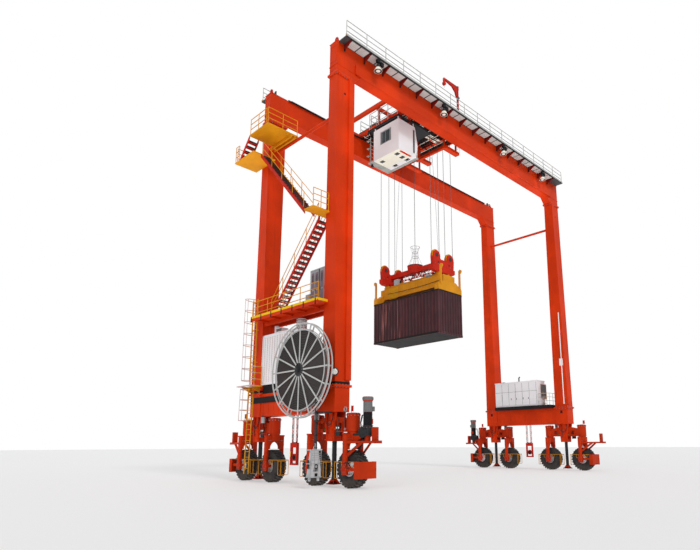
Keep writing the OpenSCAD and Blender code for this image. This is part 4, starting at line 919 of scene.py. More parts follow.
def guard_pieces(tag, body, kind, s, cx, cy):
    """Round bar guards beside a wheel and across its open ends."""
    guard, z = Shape(), GUARD_TOP
    corners = [(-300, 1150), (-330, 1120), (-330, 450), (-300, 420), (300, 420), (330, 450), (330, 1120),
               (300, 1150)]
    dip = [(0, z), (0, 990), (30, 960), (150, 960), (180, 990), (180, z)]
    for side in BOTH:
        x = cx + side * 340
        guard.tube([(x, cy - GUARD_REACH, z), (x, cy + GUARD_REACH, z)], 16)
        for t in BOTH:
            guard.tube([(x, cy + t * (250 + dy), h) for dy, h in dip], 14)
    for t in (BOTH if kind == "in" else (-s,)):
        y, bar = cy + t * (GUARD_REACH + 10), cy + t * GUARD_REACH
        guard.tube([(cx + dx, y, h) for dx, h in corners], 16, 8, True)
        for dx in (-170, -130, 130):
            guard.tube([(cx + dx, y, 425), (cx + dx, y, 1145)], 10, 6)
        guard.tube([(cx - 340, bar, z), (cx + 340, bar, z)], 16)
        for dx in (-330, 330):
            guard.tube([(cx + dx, y, 1100), (cx + dx, bar, z)], 14)
    guard.piece(f"wheel_guards_{tag}", body, "yellow", smooth=True)


def motor_pieces(tag, body, sx, s, cx, cy):
    """Gear, standing motor, hood and hoses of one driven fork; s points to the bogie's end."""
    y = cy + s * 1000
    axle = (y - s * 150, 2544)
    gear = Shape()
    gear.block((cx - 214, y - s * 796, 2393), (cx + 214, y + s * 234, 2486))
    gear.block((cx - 194, y - s * 226, 2484), (cx + 194, y + s * 234, 2716))
    gear.drum((cx, *axle), "x", 262, 440, 40)
    for x in (-224, 224):
        gear.drum((cx + x, *axle), "x", 150, 30, 28)
        gear.drum((cx + x * 1.02, *axle), "x", 70, 60, 20)
    for z, r in ((2734, 264), (2790, 232), (2834, 250)):
        gear.drum((cx, y, z), "z", r, 34, 36)
    gear.tube([(cx, y - s * 250, 2250), (cx, y - s * 650, 1800)], 90, 14)
    gear.piece(f"travel_gear_{tag}", body, "darkgrey", bevel=5)
    ribs, hood, hose = Shape(), Shape(), Shape()
    for k in range(9):
        ribs.drum((cx, y, 2884 + k * 66), "z", 222, 26, 36)
    ribs.drum((cx, y, 3155), "z", 204, 610, 36)
    ribs.piece(f"motor_ribs_{tag}", body, "black", smooth=True)
    wall = [(0, 3460), (214, 3460), (216, 3500), (214, 3900), (205, 3950), (0, 3950)]
    hood.lathe((cx, y, 0), "z", wall, 36)
    lid = [(0, 3950), (214, 3955), (262, 4034), (264, 4110), (240, 4154), (120, 4168), (0, 4168)]
    hood.lathe((cx, y, 0), "z", lid, 36)
    hood.block((cx - sx * 200, y - 120, 3500), (cx - sx * 330, y + 120, 3720))
    hood.piece(f"motor_hood_{tag}", body, "grey", smooth=True)
    repeated(f"motor_studs_{tag}", body, "steel", bolt_circle((cx, y, 2760), "z", 240, 10, (26, 26, 40)))
    thick = ((0, 215, 3360), (0, 360, 3310), (0, 440, 3000), (0, 400, 2660), (0, 240, 2560))
    thin = ((90, 205, 3420), (90, 400, 3330), (70, 500, 2980), (60, 420, 2600))
    for bends, r, sides in ((thick, 22, 10), (thin, 16, 8)):
        hose.tube([(cx + sx * 40 + dx, y - s * dy, z) for dx, dy, z in bends], r, sides)
    coil = ((600, 60, 1130), (640, 260, 1200), (660, 480, 1120), (640, 560, 980), (650, 420, 900),
            (640, 240, 960), (640, 300, 1160), (640, 640, 1180))
    hose.tube([(cx + sx * dx, cy + s * dy, z) for dx, dy, z in coil], 22)
    hose.piece(f"motor_hoses_{tag}", body, "cable", smooth=True)
    shell = [(0, -60), (80, -60), (90, -20), (70, 40), (0, 50)]
    knob = Shape().lathe((cx + sx * 610, cy + s * 660, 1120), "x", shell, 24)
    knob.piece(f"guard_plate_knob_{tag}", body, "cabinet", smooth=True)


def fork_pieces(tag, body, cx, cy):
    """Bolts and round caps of one fork."""
    bolts, caps = [], Shape()
    for side in BOTH:
        bolts += bolt_circle((cx + side * 578, cy, AXLE_Z), "x", 140, 6, (36, 36, 30))
        bolts += [((cx + side * 562, cy + dy, AXLE_Z + dz), ALONG["x"], (34, 34, 36))
                  for dy in (-130, 130) for dz in (-220, 220)]
        bolts += [((cx + side * (310 + k * 70), cy + dy, 2240), ALONG["y"], (34, 34, 30))
                  for dy in (-160, 160) for k in range(3)]
        cap = [(0, side * 26), (60, side * 26), (84, side * 14), (90, 0), (0, 0)]
        caps.lathe((cx + side * 575, cy, AXLE_Z), "x", cap, 24)
        for z, r in ((2030, 133), (1560, 131), (2508, 154)):
            caps.drum((cx + side * 485, cy, z), "z", r, 44, 28)
    repeated(f"fork_bolts_{tag}", body, "steel", bolts)
    caps.piece(f"hub_caps_{tag}", body, "red", smooth=True)


def build_bogies():
    for key, (sx, sy) in CORNERS.items():
        beam_pieces(key, sx, sy)
        pivot_pieces(key, sx, sy)
        if key == "nl":
            chain_pieces(key, sx, sy)
    for key, kind, sx, sy, s, cx, cy in wheel_places():
        tag = f"{key}_{kind}"
        body = f"fork_body_{tag}"
        fork_pieces(tag, body, cx, cy)
        guard_pieces(tag, body, kind, s, cx, cy)
        if kind == "out" and sx == sy:
            motor_pieces(tag, body, sx, s, cx, cy)


def build_anchors():
    """Rods and sleeves of the storm anchors, and the grease canisters beside them."""
    dark, pale, cans, lids, sling = Shape(), Shape(), Shape(), Shape(), Shape()
    loop = ((-230, 2300), (-215, 2150), (-150, 2110), (150, 2110), (215, 2150), (230, 2300))
    for sx in BOTH:
        cx = sx * HALF_SPAN
        for s in BOTH:
            for z in range(2240, 3330, 180):
                pale.drum((cx, s * 130, z), "z", 34, 90, 16)
            for z in (2460, 2940, 3400):
                dark.drum((cx, s * 230, z), "z", 25, 210, 14)
            x, y = cx + sx * 395, 2500 if s > 0 else -2350
            cans.drum((x, y, 3350), "z", 128, 360, 28)
            for z in (3155, 3545):
                lids.drum((x, y, z), "z", 132, 44, 28)
            lids.tube([(x, y - 60, 3130), (x, y - 90, 2980), (x - sx * 55, y - 260, 2940)], 18)
        dark.tube([(cx, y, z) for y, z in loop], 22, 10)
        dark.drum((cx, 0, 1350), "x", 130, 84, 28)
        dark.drum((cx, 0, 1350), "x", 60, 120, 20)
        hang = [(cx + sx * 30, 244, 1760), (cx + sx * 40, 262, 1600), (cx + sx * 40, 262, 1380)]
        sling.tube(hang, [24, 40, 36], 10)
    dark.piece("anchor_rods", "frame", "black", smooth=True)
    pale.piece("anchor_sleeves", "frame", "pink", smooth=True)
    sling.piece("anchor_slings", "frame", "toe", smooth=True)
    cans.piece("grease_canisters", "frame", "casting", smooth=True)
    lids.piece("canister_lids", "frame", "black", smooth=True)


# Reel, platforms and stairs


def reel_pieces():
    """The wound cable, the rim tubes, the bolts and the hub plates."""
    x, y, z = REEL
    layers = []
    for r in range(300, 1945, 41):
        layers += [(r, -58), (r + 10, -75), (r + 30, -75)]
    layers.append((1966, -58))
    made = Shape().lathe((x, y, z), "x", mirrored(layers), 128, True).piece("wound_cable", "reel", "wound")
    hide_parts("reel_cable")
    rims, bolts, hub = Shape(), [], Shape()
    for s, r, bar in ((-1, 2350, 22), (-1, 1985, 16), (1, 2350, 20)):
        rims.tube(around((x + s * 100, y, z), "x", r, 96), bar, 8, True)
    for s in BOTH:
        bolts += bolt_circle((x + s * 134, y, z), "x", 290, 16, (34, 34, 26))
        bolts += bolt_circle((x + s * 122, y, z), "x", 2250, 16, (26, 26, 16))
        hub.drum((x + s * 130, y, z), "x", 330, 20, 40)
        hub.lathe((x + s * 142, y, z), "x", [(110, -12), (190, -12), (200, 12), (110, 12)], 32, True)
    rims.piece("reel_rim_tubes", "reel", "galvanised", smooth=True)
    repeated("reel_bolts", "reel", "steel", bolts)
    hub.piece("reel_hub_plates", "reel", "darkgrey", smooth=True)
    outline = [(0, -20), (120, -20), (150, -4), (150, 20), (0, 20)]
    cap = Shape().lathe((x - 163, y, z), "x", outline, 32)
    cap.tube([(x - 165, y - 60, z + 120), (x - 177, y - 130, z + 260), (x - 171, y + 40, z + 330),
              (x - 165, y + 110, z + 130)], 14)
    cap.tube([(x + 175, y + 120, z - 60), (x + 235, y + 330, z - 330), (x + 375, y + 360, z - 380),
              (x + 535, y + 220, z - 120)], 22)
    cap.piece("slip_ring_cover", "frame", "black", smooth=True)


def guide_pieces():
    """Bands, ribs and openings of the cable guide's case, the openings as painted shade, and the bands on its
    post.
    """
    x, gy, out = REEL[0], GUIDE_Y, 8
    near = gy - 150
    case, mouth, post = Shape(), Shape(), Shape()
    for low, high in ((505, 560), (1110, 1150), (1720, 1775)):
        for s in BOTH:
            case.block((x - 330 - out, gy + s * 150, low), (x + 330 + out, gy + s * (150 + out), high))
            case.block((x + s * 330, near, low), (x + s * (330 + out), gy + 150, high))
    for dx in (-300, -110, 110, 270):
        case.block((x + dx, near - 8, 560), (x + dx + 30, near, 1720))
    case.drum((x + 10, near - 3.5, 1000), "y", 62, 9)
    for k in range(4):
        case.block((x - 250, near - 7, 1290 + k * 100), (x + 250, near, 1312 + k * 100))
    case.piece("guide_case_bands", "frame", "casting")
    # Painted shade: black ring and blocks stand for the dark openings of the case.
    mouth.drum((x + 10, near - 1.5, 1000), "y", 120, 7, 28, 60)
    mouth.block((x - 60, near - 5, 545), (x + 90, near, 700))
    mouth.block((x - 334, gy - 60, 900), (x - 330, gy + 60, 1300))
    mouth.piece("guide_case_openings_painted_shade", "frame", "black")
    for z in (1830, 2400, 2970, 3420):
        post.block((x + 63, gy - 37, z), (x + 137, gy + 37, z + 50))
    post.piece("guide_post_bands", "frame", "black")


def build_reel():
    reel_pieces()
    guide_pieces()


def electrical_pieces():
    """Doors, louvres and grips of the cabinets, and the platform's toe boards."""
    doors, gaps, toe, grips = Shape(), Shape(), Shape(), []
    for y in (-2790, -2010):
        for k in (0, 1):
            a, b = y + 40 + k * 350, y + 350 + k * 350
            for low, high in ((9200, 10060), (10120, 11060)):
                doors.block((-11957, a + 30, low), (-11963, b - 30, high))
            grips.append(((-11975, b - 60, 10100), FLAT, (22, 24, 160)))
            # Painted shade: the louvre slits are dark strips; the long strips below are the dark joints
            # between the doors.
            for z in range(10500, 10950, 50):
                gaps.block((-11964, a + 70, z), (-11968, b - 70, z + 22))
    for y in (-2794, -2058, -2014, -1276):
        gaps.block((-11966, y, 9110), (-11958, y + 22, 11200))
    doors.block((-11900, -2803, 9180), (-11080, -2795, 11150))
    doors.piece("cabinet_door_panels", "frame", "mauve", bevel=3)
    gaps.piece("cabinet_louvre_shade_and_door_joints", "frame", "darkgrey")
    low, high = PLATFORM_Z + 20, PLATFORM_Z + 150
    toe.block((PLAT_X0 - 8, -3140, low), (PLAT_X0 - 1, 3090, high))
    toe.block((PLAT_X0 - 8, -3148, low), (-12180, -3141, high))
    toe.piece("platform_toe_boards", "frame", "toe")
    clips = [((PLAT_X0 - 10, y, PLATFORM_Z - 30), FLAT, (14, 70, 330)) for y in range(-3000, 3001, 1000)]
    repeated("toe_board_clips", "frame", "black", clips, "bar")
    repeated("cabinet_grips", "frame", "black", grips, "bar")


def sill_cabinet_pieces():
    """Slats, posts, base and top fittings of the ventilated cabinet, and the black band at the legs' feet."""
    slats = [((CABINET_X + 39, y, z), (0, 24, 0), (14, 200, 60))
             for y in range(-460, 2680, 240) for z in range(5480, 8000, 104)]
    repeated("transformer_slats", "frame", "pink", slats, "bar")
    trim, base, tops, band = Shape(), Shape(), Shape(), Shape()
    for y in (-700, 1000, 2640):
        trim.block((CABINET_X, y, 5325), (CABINET_X + 18, y + 60, 8150))
    trim.block((CABINET_X, -700, 8090), (CABINET_X + 18, 2700, 8150))
    trim.piece("transformer_posts", "frame", "white")
    base.block((-12141, -640, 4824), (-12135, 2660, 5318))
    for y in range(-520, 2600, 260):
        base.block((-12150, y, 4840), (-12141, y + 180, 5290))
    base.piece("transformer_base_panels", "frame", "black")
    for k in range(6):
        tops.drum((-11785, -350, 8240 + k * 84), "z", 292, 22, 32)
    tops.drum((-11785, 2050, 8704), "z", 138, 30)
    tops.block((-12014, 1246, 8300), (-12010, 1754, 8460))
    tops.piece("cabinet_top_fittings", "frame", "grey")
    x = -HALF_SPAN
    band.block((x - 476, -2790, 4300), (x - SILL_SIDE, 3810, 4640))
    for y in (-HALF_BASE, HALF_BASE):
        hx, hy = (half + 8 for half in leg_half(4900))
        band.block((x - hx, y - hy, SILL_TOP + 62), (x + hx, y + hy, SILL_TOP + 200))
    band.piece("leg_foot_band", "frame", "black")


def generator_pieces():
    """Doors, vents, grille, exhaust, steps and handrails of the generator housing."""
    doors, lines, vents = Shape(), Shape(), []
    count, low, high = 6, -1430.0, 2510.0
    pitch = (high - low) / count
    for i in range(count):
        y = low + i * pitch
        doors.block((GEN_X - 24, y + 40, GEN_Z + 150), (GEN_X - 20, y + pitch - 80, GEN_Z + 1190))
        vents += [((GEN_X - 26, y + pitch / 2 - 20, GEN_Z + 300 + k * 46), (0, 30, 0), (10, pitch - 240, 28))
                  for k in range(7)]
        lines.block((GEN_X - 23, y - 8, 5200), (GEN_X - 20, y + 8, 7000))
    for y in (960, 450, -200, -690):
        lines.block((GEN_X - 44, y - 14, 5640), (GEN_X - 24, y + 14, 5800))
    lines.block((GEN_X - 23, 1845, 5560), (GEN_X - 20, 1880, 6160))
    lines.block((GEN_X - 23, -1480, 6295), (GEN_X - 20, 2520, 6309))
    doors.piece("generator_door_panels", "frame", "white", bevel=3)
    lines.piece("generator_door_lines", "frame", "black")
    repeated("generator_vents", "frame", "white", vents, "bar")
    base = [((GEN_X - 6, y, 4960), FLAT, (12, 60, 220)) for y in range(-1440, 2540, 160)]
    repeated("generator_base_ribs", "frame", "black", base, "bar")
    border, grille = Shape(), Shape()
    for x0, z0, x1, z1 in ((11360, 5640, 12340, 5700), (11360, 6830, 12340, 6890),
                           (11360, 5700, 11410, 6830), (12290, 5700, 12340, 6830)):
        border.block((x0, GEN_END - 12, z0), (x1, GEN_END, z1))
    grille.block((11410, GEN_END - 4, 5700), (12290, GEN_END, 6830))
    for z in range(5716, 5716 + 22 * 51, 51):
        grille.block((11416, GEN_END - 12, z), (12284, GEN_END - 4, z + 22))
    border.piece("radiator_frame", "frame", "pink")
    grille.piece("radiator_grille", "frame", "grey")
    rails, pipes, steps = Shape(), Shape(), Shape()
    x0, x1, y0, y1 = GEN_X - 60, HALF_SPAN + 400, -2600, -1600
    for z in (5400, 5700, 6000):
        rails.tube([(x0, y0, z), (x0, y1, z)], 18)
        rails.tube([(x0, y0, z), (x1, y0, z)], 18)
    for x, y in ((x0, y0), (GEN_X + 500, y0), (x1, y0), (x0, y1)):
        rails.tube([(x, y, GEN_Z), (x, y, 6000)], 20)
    rails.piece("generator_handrails", "frame", "rail", smooth=True)
    pipes.tube([(HALF_SPAN, 700, 7130), (HALF_SPAN, 700, 7560), (HALF_SPAN + 120, 700, 7640)], 55, 14)
    bends = ((200, 2240, 7120), (160, 2050, 7180), (120, 1700, 7170), (100, 1470, 7120))
    pipes.tube([(GEN_X + dx, y, z) for dx, y, z in bends], 34, 10)
    pipes.piece("exhaust_pipes", "frame", "railsteel", smooth=True)
    y = GEN_END - 60
    for x in (11700, 12220):
        steps.tube([(x, y, 5060), (x, y, 6200), (x, y + 40, 6260)], 18)
    for z in (5300, 5600, 5900):
        steps.tube([(11700, y, z), (12220, y, z)], 14)
    steps.piece("generator_steps", "frame", "yellow", smooth=True)


# Each stair: its left edge, then the place and height of its foot and of its head

STAIRS = ((-12355, 2000, 9090, -2440, 14030), (-13335, -2440, 14030, 2170, 19070),
          (-13835, 3780, 19070, 2730, 20300))


def build_access():
    electrical_pieces()
    sill_cabinet_pieces()
    generator_pieces()
    treads = []
    for x, y0, z0, y1, z1 in STAIRS:
        n = round((z1 - z0) / 230)
        treads += [((x + 325, y0 + (y1 - y0) * i / n, z0 + (z1 - z0) * i / n - 18), FLAT, (600, 224, 12))
                   for i in range(1, n)]
    repeated("stair_tread_grids", "frame", "darkgrate", treads, "bar")
    shell, lens = Shape(), Shape()
    beam = Vector((-0.64, -0.72, -0.28))
    c = Vector((-12250, -3830, 5482))
    shell.tube([c + beam * reach for reach in (-150, -90, 0, 60)], [60, 130, 196, 202], 28)
    shell.tube([c - beam * 120, (-12190, -3790, 5560), (-12180, -3780, 5650)], 22)
    lens.tube([c + beam * 58, c + beam * 80], [146, 118], 28)
    shell.piece("leg_lamp", "frame", "darkgrey", smooth=True)
    lens.piece("leg_lamp_glass", "frame", "lamp", smooth=True)


# Trolley, cab and load


def build_trolley():
    t, z = TROLLEY_X, TROLLEY_FLOOR
    grid, pale, turns = [], [], []
    for x in range(-2700, 2500, 300):
        (grid if x % 900 else pale).append(((t + x, 0, z - 20), FLAT, (40, 5700, 50)))
    grid += [((t - 150, y, z - 45), FLAT, (5100, 50, 40)) for y in range(-2600, 2700, 650)]
    repeated("trolley_grid_bars", "trolley", "under", grid, "bar")
    repeated("trolley_floor_bars", "trolley", "cream", pale, "bar")
    ducts, pads, boxes, cage = Shape(), Shape(), Shape(), Shape()
    ducts.block((t - 2600, -2960, z - 70), (t + 1500, -2820, z + 60))
    ducts.block((t - 1900, -1200, z - 120), (t - 300, -960, z - 46))
    ducts.piece("trolley_cable_ducts", "trolley", "darkgrey")
    for x, y in ((-2500, -2200), (-1900, -2200), (-2500, -1500), (300, -900), (1100, -900)):
        pads.block((t + x, y, z - 30), (t + x + 480, y + 520, z - 10))
    pads.piece("trolley_floor_plates", "trolley", "cream")
    boxes.block((t - 2800, -2700, z + 10), (t - 2100, -1900, z + 260))
    boxes.block((t - 1200, -2600, z + 10), (t + 1400, -2350, z + 200))
    boxes.piece("trolley_cable_boxes", "trolley", "darkgrey")
    low, high = 22420, 22820
    for x, y in ((t + 1320, -2620), (t + 950, -320)):
        y0, y1 = y - 140, y + 140
        for dx in (-100, 100):
            cage.tube([(x + dx, y0, low), (x + dx, y0, high), (x + dx, y1, high), (x + dx, y1, low)], 10, 6)
        for end in (y0, y1):
            cage.tube([(x - 100, end, high), (x + 100, end, high)], 10, 6)
    cage.piece("rope_wire_guards", "trolley", "rail", smooth=True)
    for y in (ROWS[0] + 313, ROWS[1] - 313):
        turns += [((t + k * 50, y, ROPE_TOP), ALONG["x"], (612, 612, 27))
                  for k in range(-28, 29) if abs(k) > 1]
    repeated("drum_rope_turns", "trolley", "rope", turns, "bolt", 24)


def build_cab():
    t = TROLLEY_X
    x0, x1, front = t - 4550, t - 3250, t - 2750
    y0, y1, z0, z1, roof_z = -2450, -120, 20450, 22620, 22960
    panes, frames, seams, roof = Shape(), Shape(), Shape(), Shape()
    panes.block((x0 + 20, y0 + 730, z0 + 950), (x0 + 32, y0 + 1650, z0 + 1800))
    for y in (y0 + 22, y1 - 34):
        panes.block((x1 + 60, y, z0 + 260), (front - 270, y + 12, z1 - 220))
    for outline in ([(-172, z0 + 160), (-30, z0 + 860), (-44, z0 + 866), (-186, z0 + 166)],
                    [(-40, z0 + 980), (-242, z1 - 150), (-256, z1 - 156), (-54, z0 + 974)]):
        panes.prism([(front + dx, z) for dx, z in outline], "y", y0 + 120, y1 - 120)
    panes.piece("cab_windows", "trolley", "glass")
    for back, a, b, low, high in ((14, 700, 1680, 920, 950), (14, 700, 1680, 1800, 1830),
                                  (14, 700, 730, 920, 1830), (14, 1650, 1680, 920, 1830),
                                  (10, 1180, 1200, 950, 1800)):
        frames.block((x0 - back, y0 + a, z0 + low), (x0 + 2, y0 + b, z0 + high))
    frames.block((x1 + 40, y0 - 12, z0 + 230), (x1 + 62, y0, z1 - 190))
    frames.piece("cab_window_frames", "trolley", "cabinet")
    for y in (y0 + 40, y0 + 800, y0 + 1540, y1 - 60):
        seams.block((x0 - 5, y, z0 + 20), (x0, y + 14, z1 - 20))
    seams.block((x0 - 5, y0 + 20, z0 + 60), (x0, y1 - 20, z0 + 74))
    seams.block((x0 + 60, y0 - 5, z0 + 30), (x0 + 74, y0, z1 - 30))
    seams.piece("cab_panel_seams", "trolley", "white")
    roof.block((x0 + 26, y0 + 46, roof_z - 64), (-2996, 504, roof_z + 4))
    roof.block((x0 + 26, y0 + 46, roof_z - 164), (x0 + 94, 504, roof_z))
    roof.piece("cab_roof_sheet", "trolley", "darkgrey", bevel=4)
    under, grilles, hatch, lamp, rails, seat = (Shape() for _ in range(6))
    under.block((x0 + 20, y0 + 20, z0 - 8), (x1 - 20, y1 - 20, z0))
    under.piece("cab_underside", "trolley", "cream")
    for x, y in ((x0 + 300, y1 - 560), (x0 + 260, y0 + 360), (x0 + 800, y0 + 420)):
        grilles.block((x, y, z0 - 16), (x + 260, y + 320, z0 - 8))
    grilles.piece("cab_grilles", "trolley", "darkgrate")
    hatch.block((x1 - 1050, y0 + 40, z0 - 16), (x1 - 60, y0 + 190, z0 - 8))
    hatch.piece("cab_service_hatch", "trolley", "orange")
    x, y = x0 + 160, y1 + 300
    lamp.lathe((x, y, z0 - 180), "z", [(0, 120), (60, 110), (110, 0), (0, 0)], 20)
    lamp.tube([(x, y, z0 - 20), (x, y, z0 - 80)], 18)
    lamp.piece("cab_lamp", "trolley", "black", smooth=True)
    side, face = y1 + 440, front + 40
    for z in (z0 + 380, z0 + 720):
        rails.tube([(face, y0 + 60, z), (face, side, z), (x0 + 1320, side, z)], 18)
    for y in (y0 + 60, y0 + 900, y0 + 1700, side):
        rails.tube([(face, y, z0 + 40), (face, y, z0 + 720)], 18)
    rails.piece("cab_handrails", "trolley", "rail", smooth=True)
    cx, cy = t - 3600, -1285
    outline = ((-260, 520), (240, 560), (240, 640), (-180, 640), (-300, 1300), (-380, 1290))
    seat.prism([(cx + dx, z0 + dz) for dx, dz in outline], "y", cy - 260, cy + 260)
    seat.drum((cx - 20, cy, z0 + 290), "z", 90, 460, 20)
    for s in BOTH:
        seat.block((cx - 150, cy + s * 330, z0 + 60), (cx + 300, cy + s * 520, z0 + 760))
    seat.piece("cab_seat", "trolley", "darkgrey", bevel=20)


def rope_pieces():
    """Hoist ropes, the supply cable and two side ropes, from the headblock up to the trolley."""
    t = TROLLEY_X
    ropes, knees = Shape(), (18000, 21000)
    for y in ROWS:
        for x in (-1120, -310, 310, 1120):
            ropes.tube([(t + x, y, z) for z in (SHEAVE_Z, *knees, ROPE_TOP)], 16)
    ropes.tube([(t, BASKET_Y, z) for z in (14400, *knees, 24260)], 18)
    heights = (SHEAVE_Z - 300, *knees, 24200)
    for y, s in zip(ROWS, (1, -1)):
        ropes.tube([(t + 60, y + s * dy, z) for dy, z in zip((350, 520, 700, 900), heights)], 10, 6)
    made = ropes.piece("hoist_ropes_run", "trolley", "rope")
    made.parent = None
    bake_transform(made)
    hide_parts("hoist_ropes")


def sheave_pieces():
    """Rims, caps and bolts of the headblock's sheaves."""
    t = TROLLEY_X
    rims, caps, bolts = Shape(), Shape(), []
    groove = [(330, -60), (398, -60), (404, -50), (376, 0), (404, 50), (398, 60), (330, 60)]
    for y in ROWS:
        for s in BOTH:
            x = t + s * SHEAVE_X
            rims.lathe((x, y, SHEAVE_Z), "y", groove, 48, True)
            for e in BOTH:
                bolts += bolt_circle((x, y + e * 164, SHEAVE_Z), "y", 70, 8, (26, 26, 20))
                caps.drum((x, y + e * 160, SHEAVE_Z), "y", 128, 16, 28)
                caps.drum((t + s * 560, y + e * 136, SHEAVE_Z - 470), "y", 62, 20, 20)
        bolts += [((t + x, y + e * 154, SHEAVE_Z - 620), ALONG["y"], (40, 40, 24))
                  for x in (-950, -640, -330, 330, 640, 950) for e in BOTH]
    rims.piece("sheave_rims", "spreader", "sheave", smooth=True)
    repeated("headblock_bolts", "spreader", "steel", bolts)
    caps.piece("sheave_caps", "spreader", "darkgrey", smooth=True)


def basket_pieces():
    """Hoops, bars and rim of the cable basket, and the wire guide above it."""
    t, z0 = TROLLEY_X, LIFT_Z + 1910
    basket, guide = Shape(), Shape()
    for k in range(5):
        r = 487 + k * 13
        basket.drum((t, BASKET_Y, z0 + 40 + k * 125), "z", r + 12, 26, 48, r - 4)
    low, high = (around((t, BASKET_Y, z0 + dz), "z", r, 28) for dz, r in ((10, 489), (575, 549)))
    for bar in zip(low, high):
        basket.tube(bar, 9, 6)
    basket.piece("basket_hoops", "spreader", "headblock", smooth=True)
    rim = Shape().drum((t, BASKET_Y, z0 + 585), "z", 566, 34, 48, 530)
    rim.piece("basket_rim", "spreader", "black", smooth=True)
    for z, r in ((15750, 330), (15350, 200), (15000, 240)):
        guide.tube(around((t, BASKET_Y, z), "z", r, 32), 14, 6, True)
    bends = ((14320, 540), (15000, 240), (15350, 200), (15750, 330))
    for wire in zip(*(around((t, BASKET_Y, z), "z", r, 6) for z, r in bends)):
        guide.tube(wire, 11, 6)
    guide.piece("basket_wire_guide", "spreader", "galvanised", smooth=True)


def spreader_pieces():
    """Boxes, hoses, links, side panels and ribs on the headblock and the spreader."""
    t, links, gaps = TROLLEY_X, Shape(), Shape()
    boxes, hoses, panel = Shape(), Shape(), Shape()
    boxes.block((t - 610, 1480, LIFT_Z + 1240), (t - 280, 1900, LIFT_Z + 1700))
    boxes.block((t - 640, -1560, LIFT_Z + 1190), (t - 600, -1100, LIFT_Z + 1400))
    boxes.block((t + 200, 500, LIFT_Z + 1309), (t + 560, 1200, LIFT_Z + 1619))
    boxes.piece("spreader_junction_boxes", "spreader", "cabinet", bevel=10)
    for k in range(3):
        bends = ((-300, -2200, 1369), (-300, -1400, 1419 + k * 20), (-250, 0, 1359), (-300, 1500, 1429),
                 (-300, 2500, 1369))
        hoses.tube([(t + dx + k * 60, y, LIFT_Z + dz) for dx, y, dz in bends], 20)
    bends = ((-620, -2300, 769), (-640, -900, 699), (-640, 900, 699), (-620, 2500, 769))
    hoses.tube([(t + dx, y, LIFT_Z + dz) for dx, y, dz in bends], 16)
    hoses.piece("spreader_hoses", "spreader", "cable", smooth=True)
    for s in BOTH:
        x, wall = t + s * 440, t + s * 1216
        for k in range(9):
            y = 1450 - k * 360
            bends = [(x, y, LIFT_Z + 1440), (x, y - 180, LIFT_Z + 1730), (x, y - 360, LIFT_Z + 1440)]
            (links if k % 3 else gaps).tube(bends, 34)
        # Painted shade: dark strips along the joint of spreader and container and along the container's
        # bottom rail.
        for half, low, high in ((2990, LIFT_Z - 74, LIFT_Z - 6), (2870, LOAD_BOTTOM + 16, LOAD_BOTTOM + 150)):
            gaps.block((wall - 5, LOAD_Y - half, low), (wall + 2, LOAD_Y + half, high))
    gaps.block((t - 1190, LOAD_Y - 3028, LIFT_Z - 74), (t + 1190, LOAD_Y - 3016, LIFT_Z - 6))
    links.piece("headblock_links", "spreader", "white", smooth=True)
    gaps.piece("spreader_joint_shade_and_dark_links", "spreader", "under")
    for s in BOTH:
        x = t + s * 606
        panel.block((x - 12, LOAD_Y + 1250, LIFT_Z + 320), (x + 12, LOAD_Y + 2080, LIFT_Z + 1100))
        for low, high in ((400, 470), (560, 600), (720, 760), (880, 920)):
            panel.block((x - 20, LOAD_Y + 1330, LIFT_Z + low), (x + 20, LOAD_Y + 2000, LIFT_Z + high))
    panel.piece("spreader_side_panels", "spreader", "sheave", bevel=6)
    ribs = [((t + s * 606, y + LOAD_Y - 300, LIFT_Z + 819), FLAT, (14, 16, 800))
            for y in range(-2100, 2900, 620) for s in BOTH]
    repeated("spreader_ribs", "spreader", "spreader", ribs, "bar")


def container_pieces():
    """Door gear, corner pockets with holes in painted shade, and a dark sheet of painted shade under the
    container.
    """
    t, end = TROLLEY_X, LOAD_Y + BOX_HALF_L
    gear, pockets, floor = Shape(), Shape(), Shape()
    for x in (-900, -300, 300, 900):
        for dz in (320, 900, 2000, 2560):
            z = LOAD_BOTTOM + dz
            gear.block((t + x - 40, end - 34, z), (t + x + 40, end - 2, z + 60))
    for x in (-560, 640):
        gear.block((t + x, end - 26, LOAD_BOTTOM + 1140), (t + x + 260, end - 6, LOAD_BOTTOM + 1180))
    gear.piece("container_door_gear", "spreader", "galvanised", bevel=4)
    # Painted shade: black discs stand for the dark holes of the corner castings.
    for sx, sy in CORNERS.values():
        for z in (LOAD_BOTTOM + 59, LIFT_Z - 59):
            for axis, dx, dy in (("x", 1, 89), ("y", 81, 1)):
                x, y = t + sx * (BOX_HALF_W - dx), LOAD_Y + sy * (BOX_HALF_L - dy)
                pockets.drum((x, y, z), axis, 34, 3, 20)
    pockets.piece("corner_pocket_holes_painted_shade", "spreader", "black")
    # Painted shade: a near black sheet under the container.
    low = (t - 1180, LOAD_Y - 2990, LOAD_BOTTOM + 22)
    floor.block(low, (t + 1180, LOAD_Y + 2990, LOAD_BOTTOM + 29))
    floor.piece("container_underside_painted_shade", "spreader", "under")


def build_load():
    rope_pieces()
    sheave_pieces()
    basket_pieces()
    spreader_pieces()
    container_pieces()


# Stage: the camera was fitted to the photograph, its values are degrees, pixels and metres

CAMERA_TURN = (45.892, 11.75, -0.244)
CAMERA_PLACE = (-29.097 + SHIFT / 1000.0, -24.482, 1.937)
FOCAL_PX = 547.32
MIDDLE_PX = (398.27, 331.63)
PICTURE_PX = (700.0, 550.0)
SENSOR = 36.0


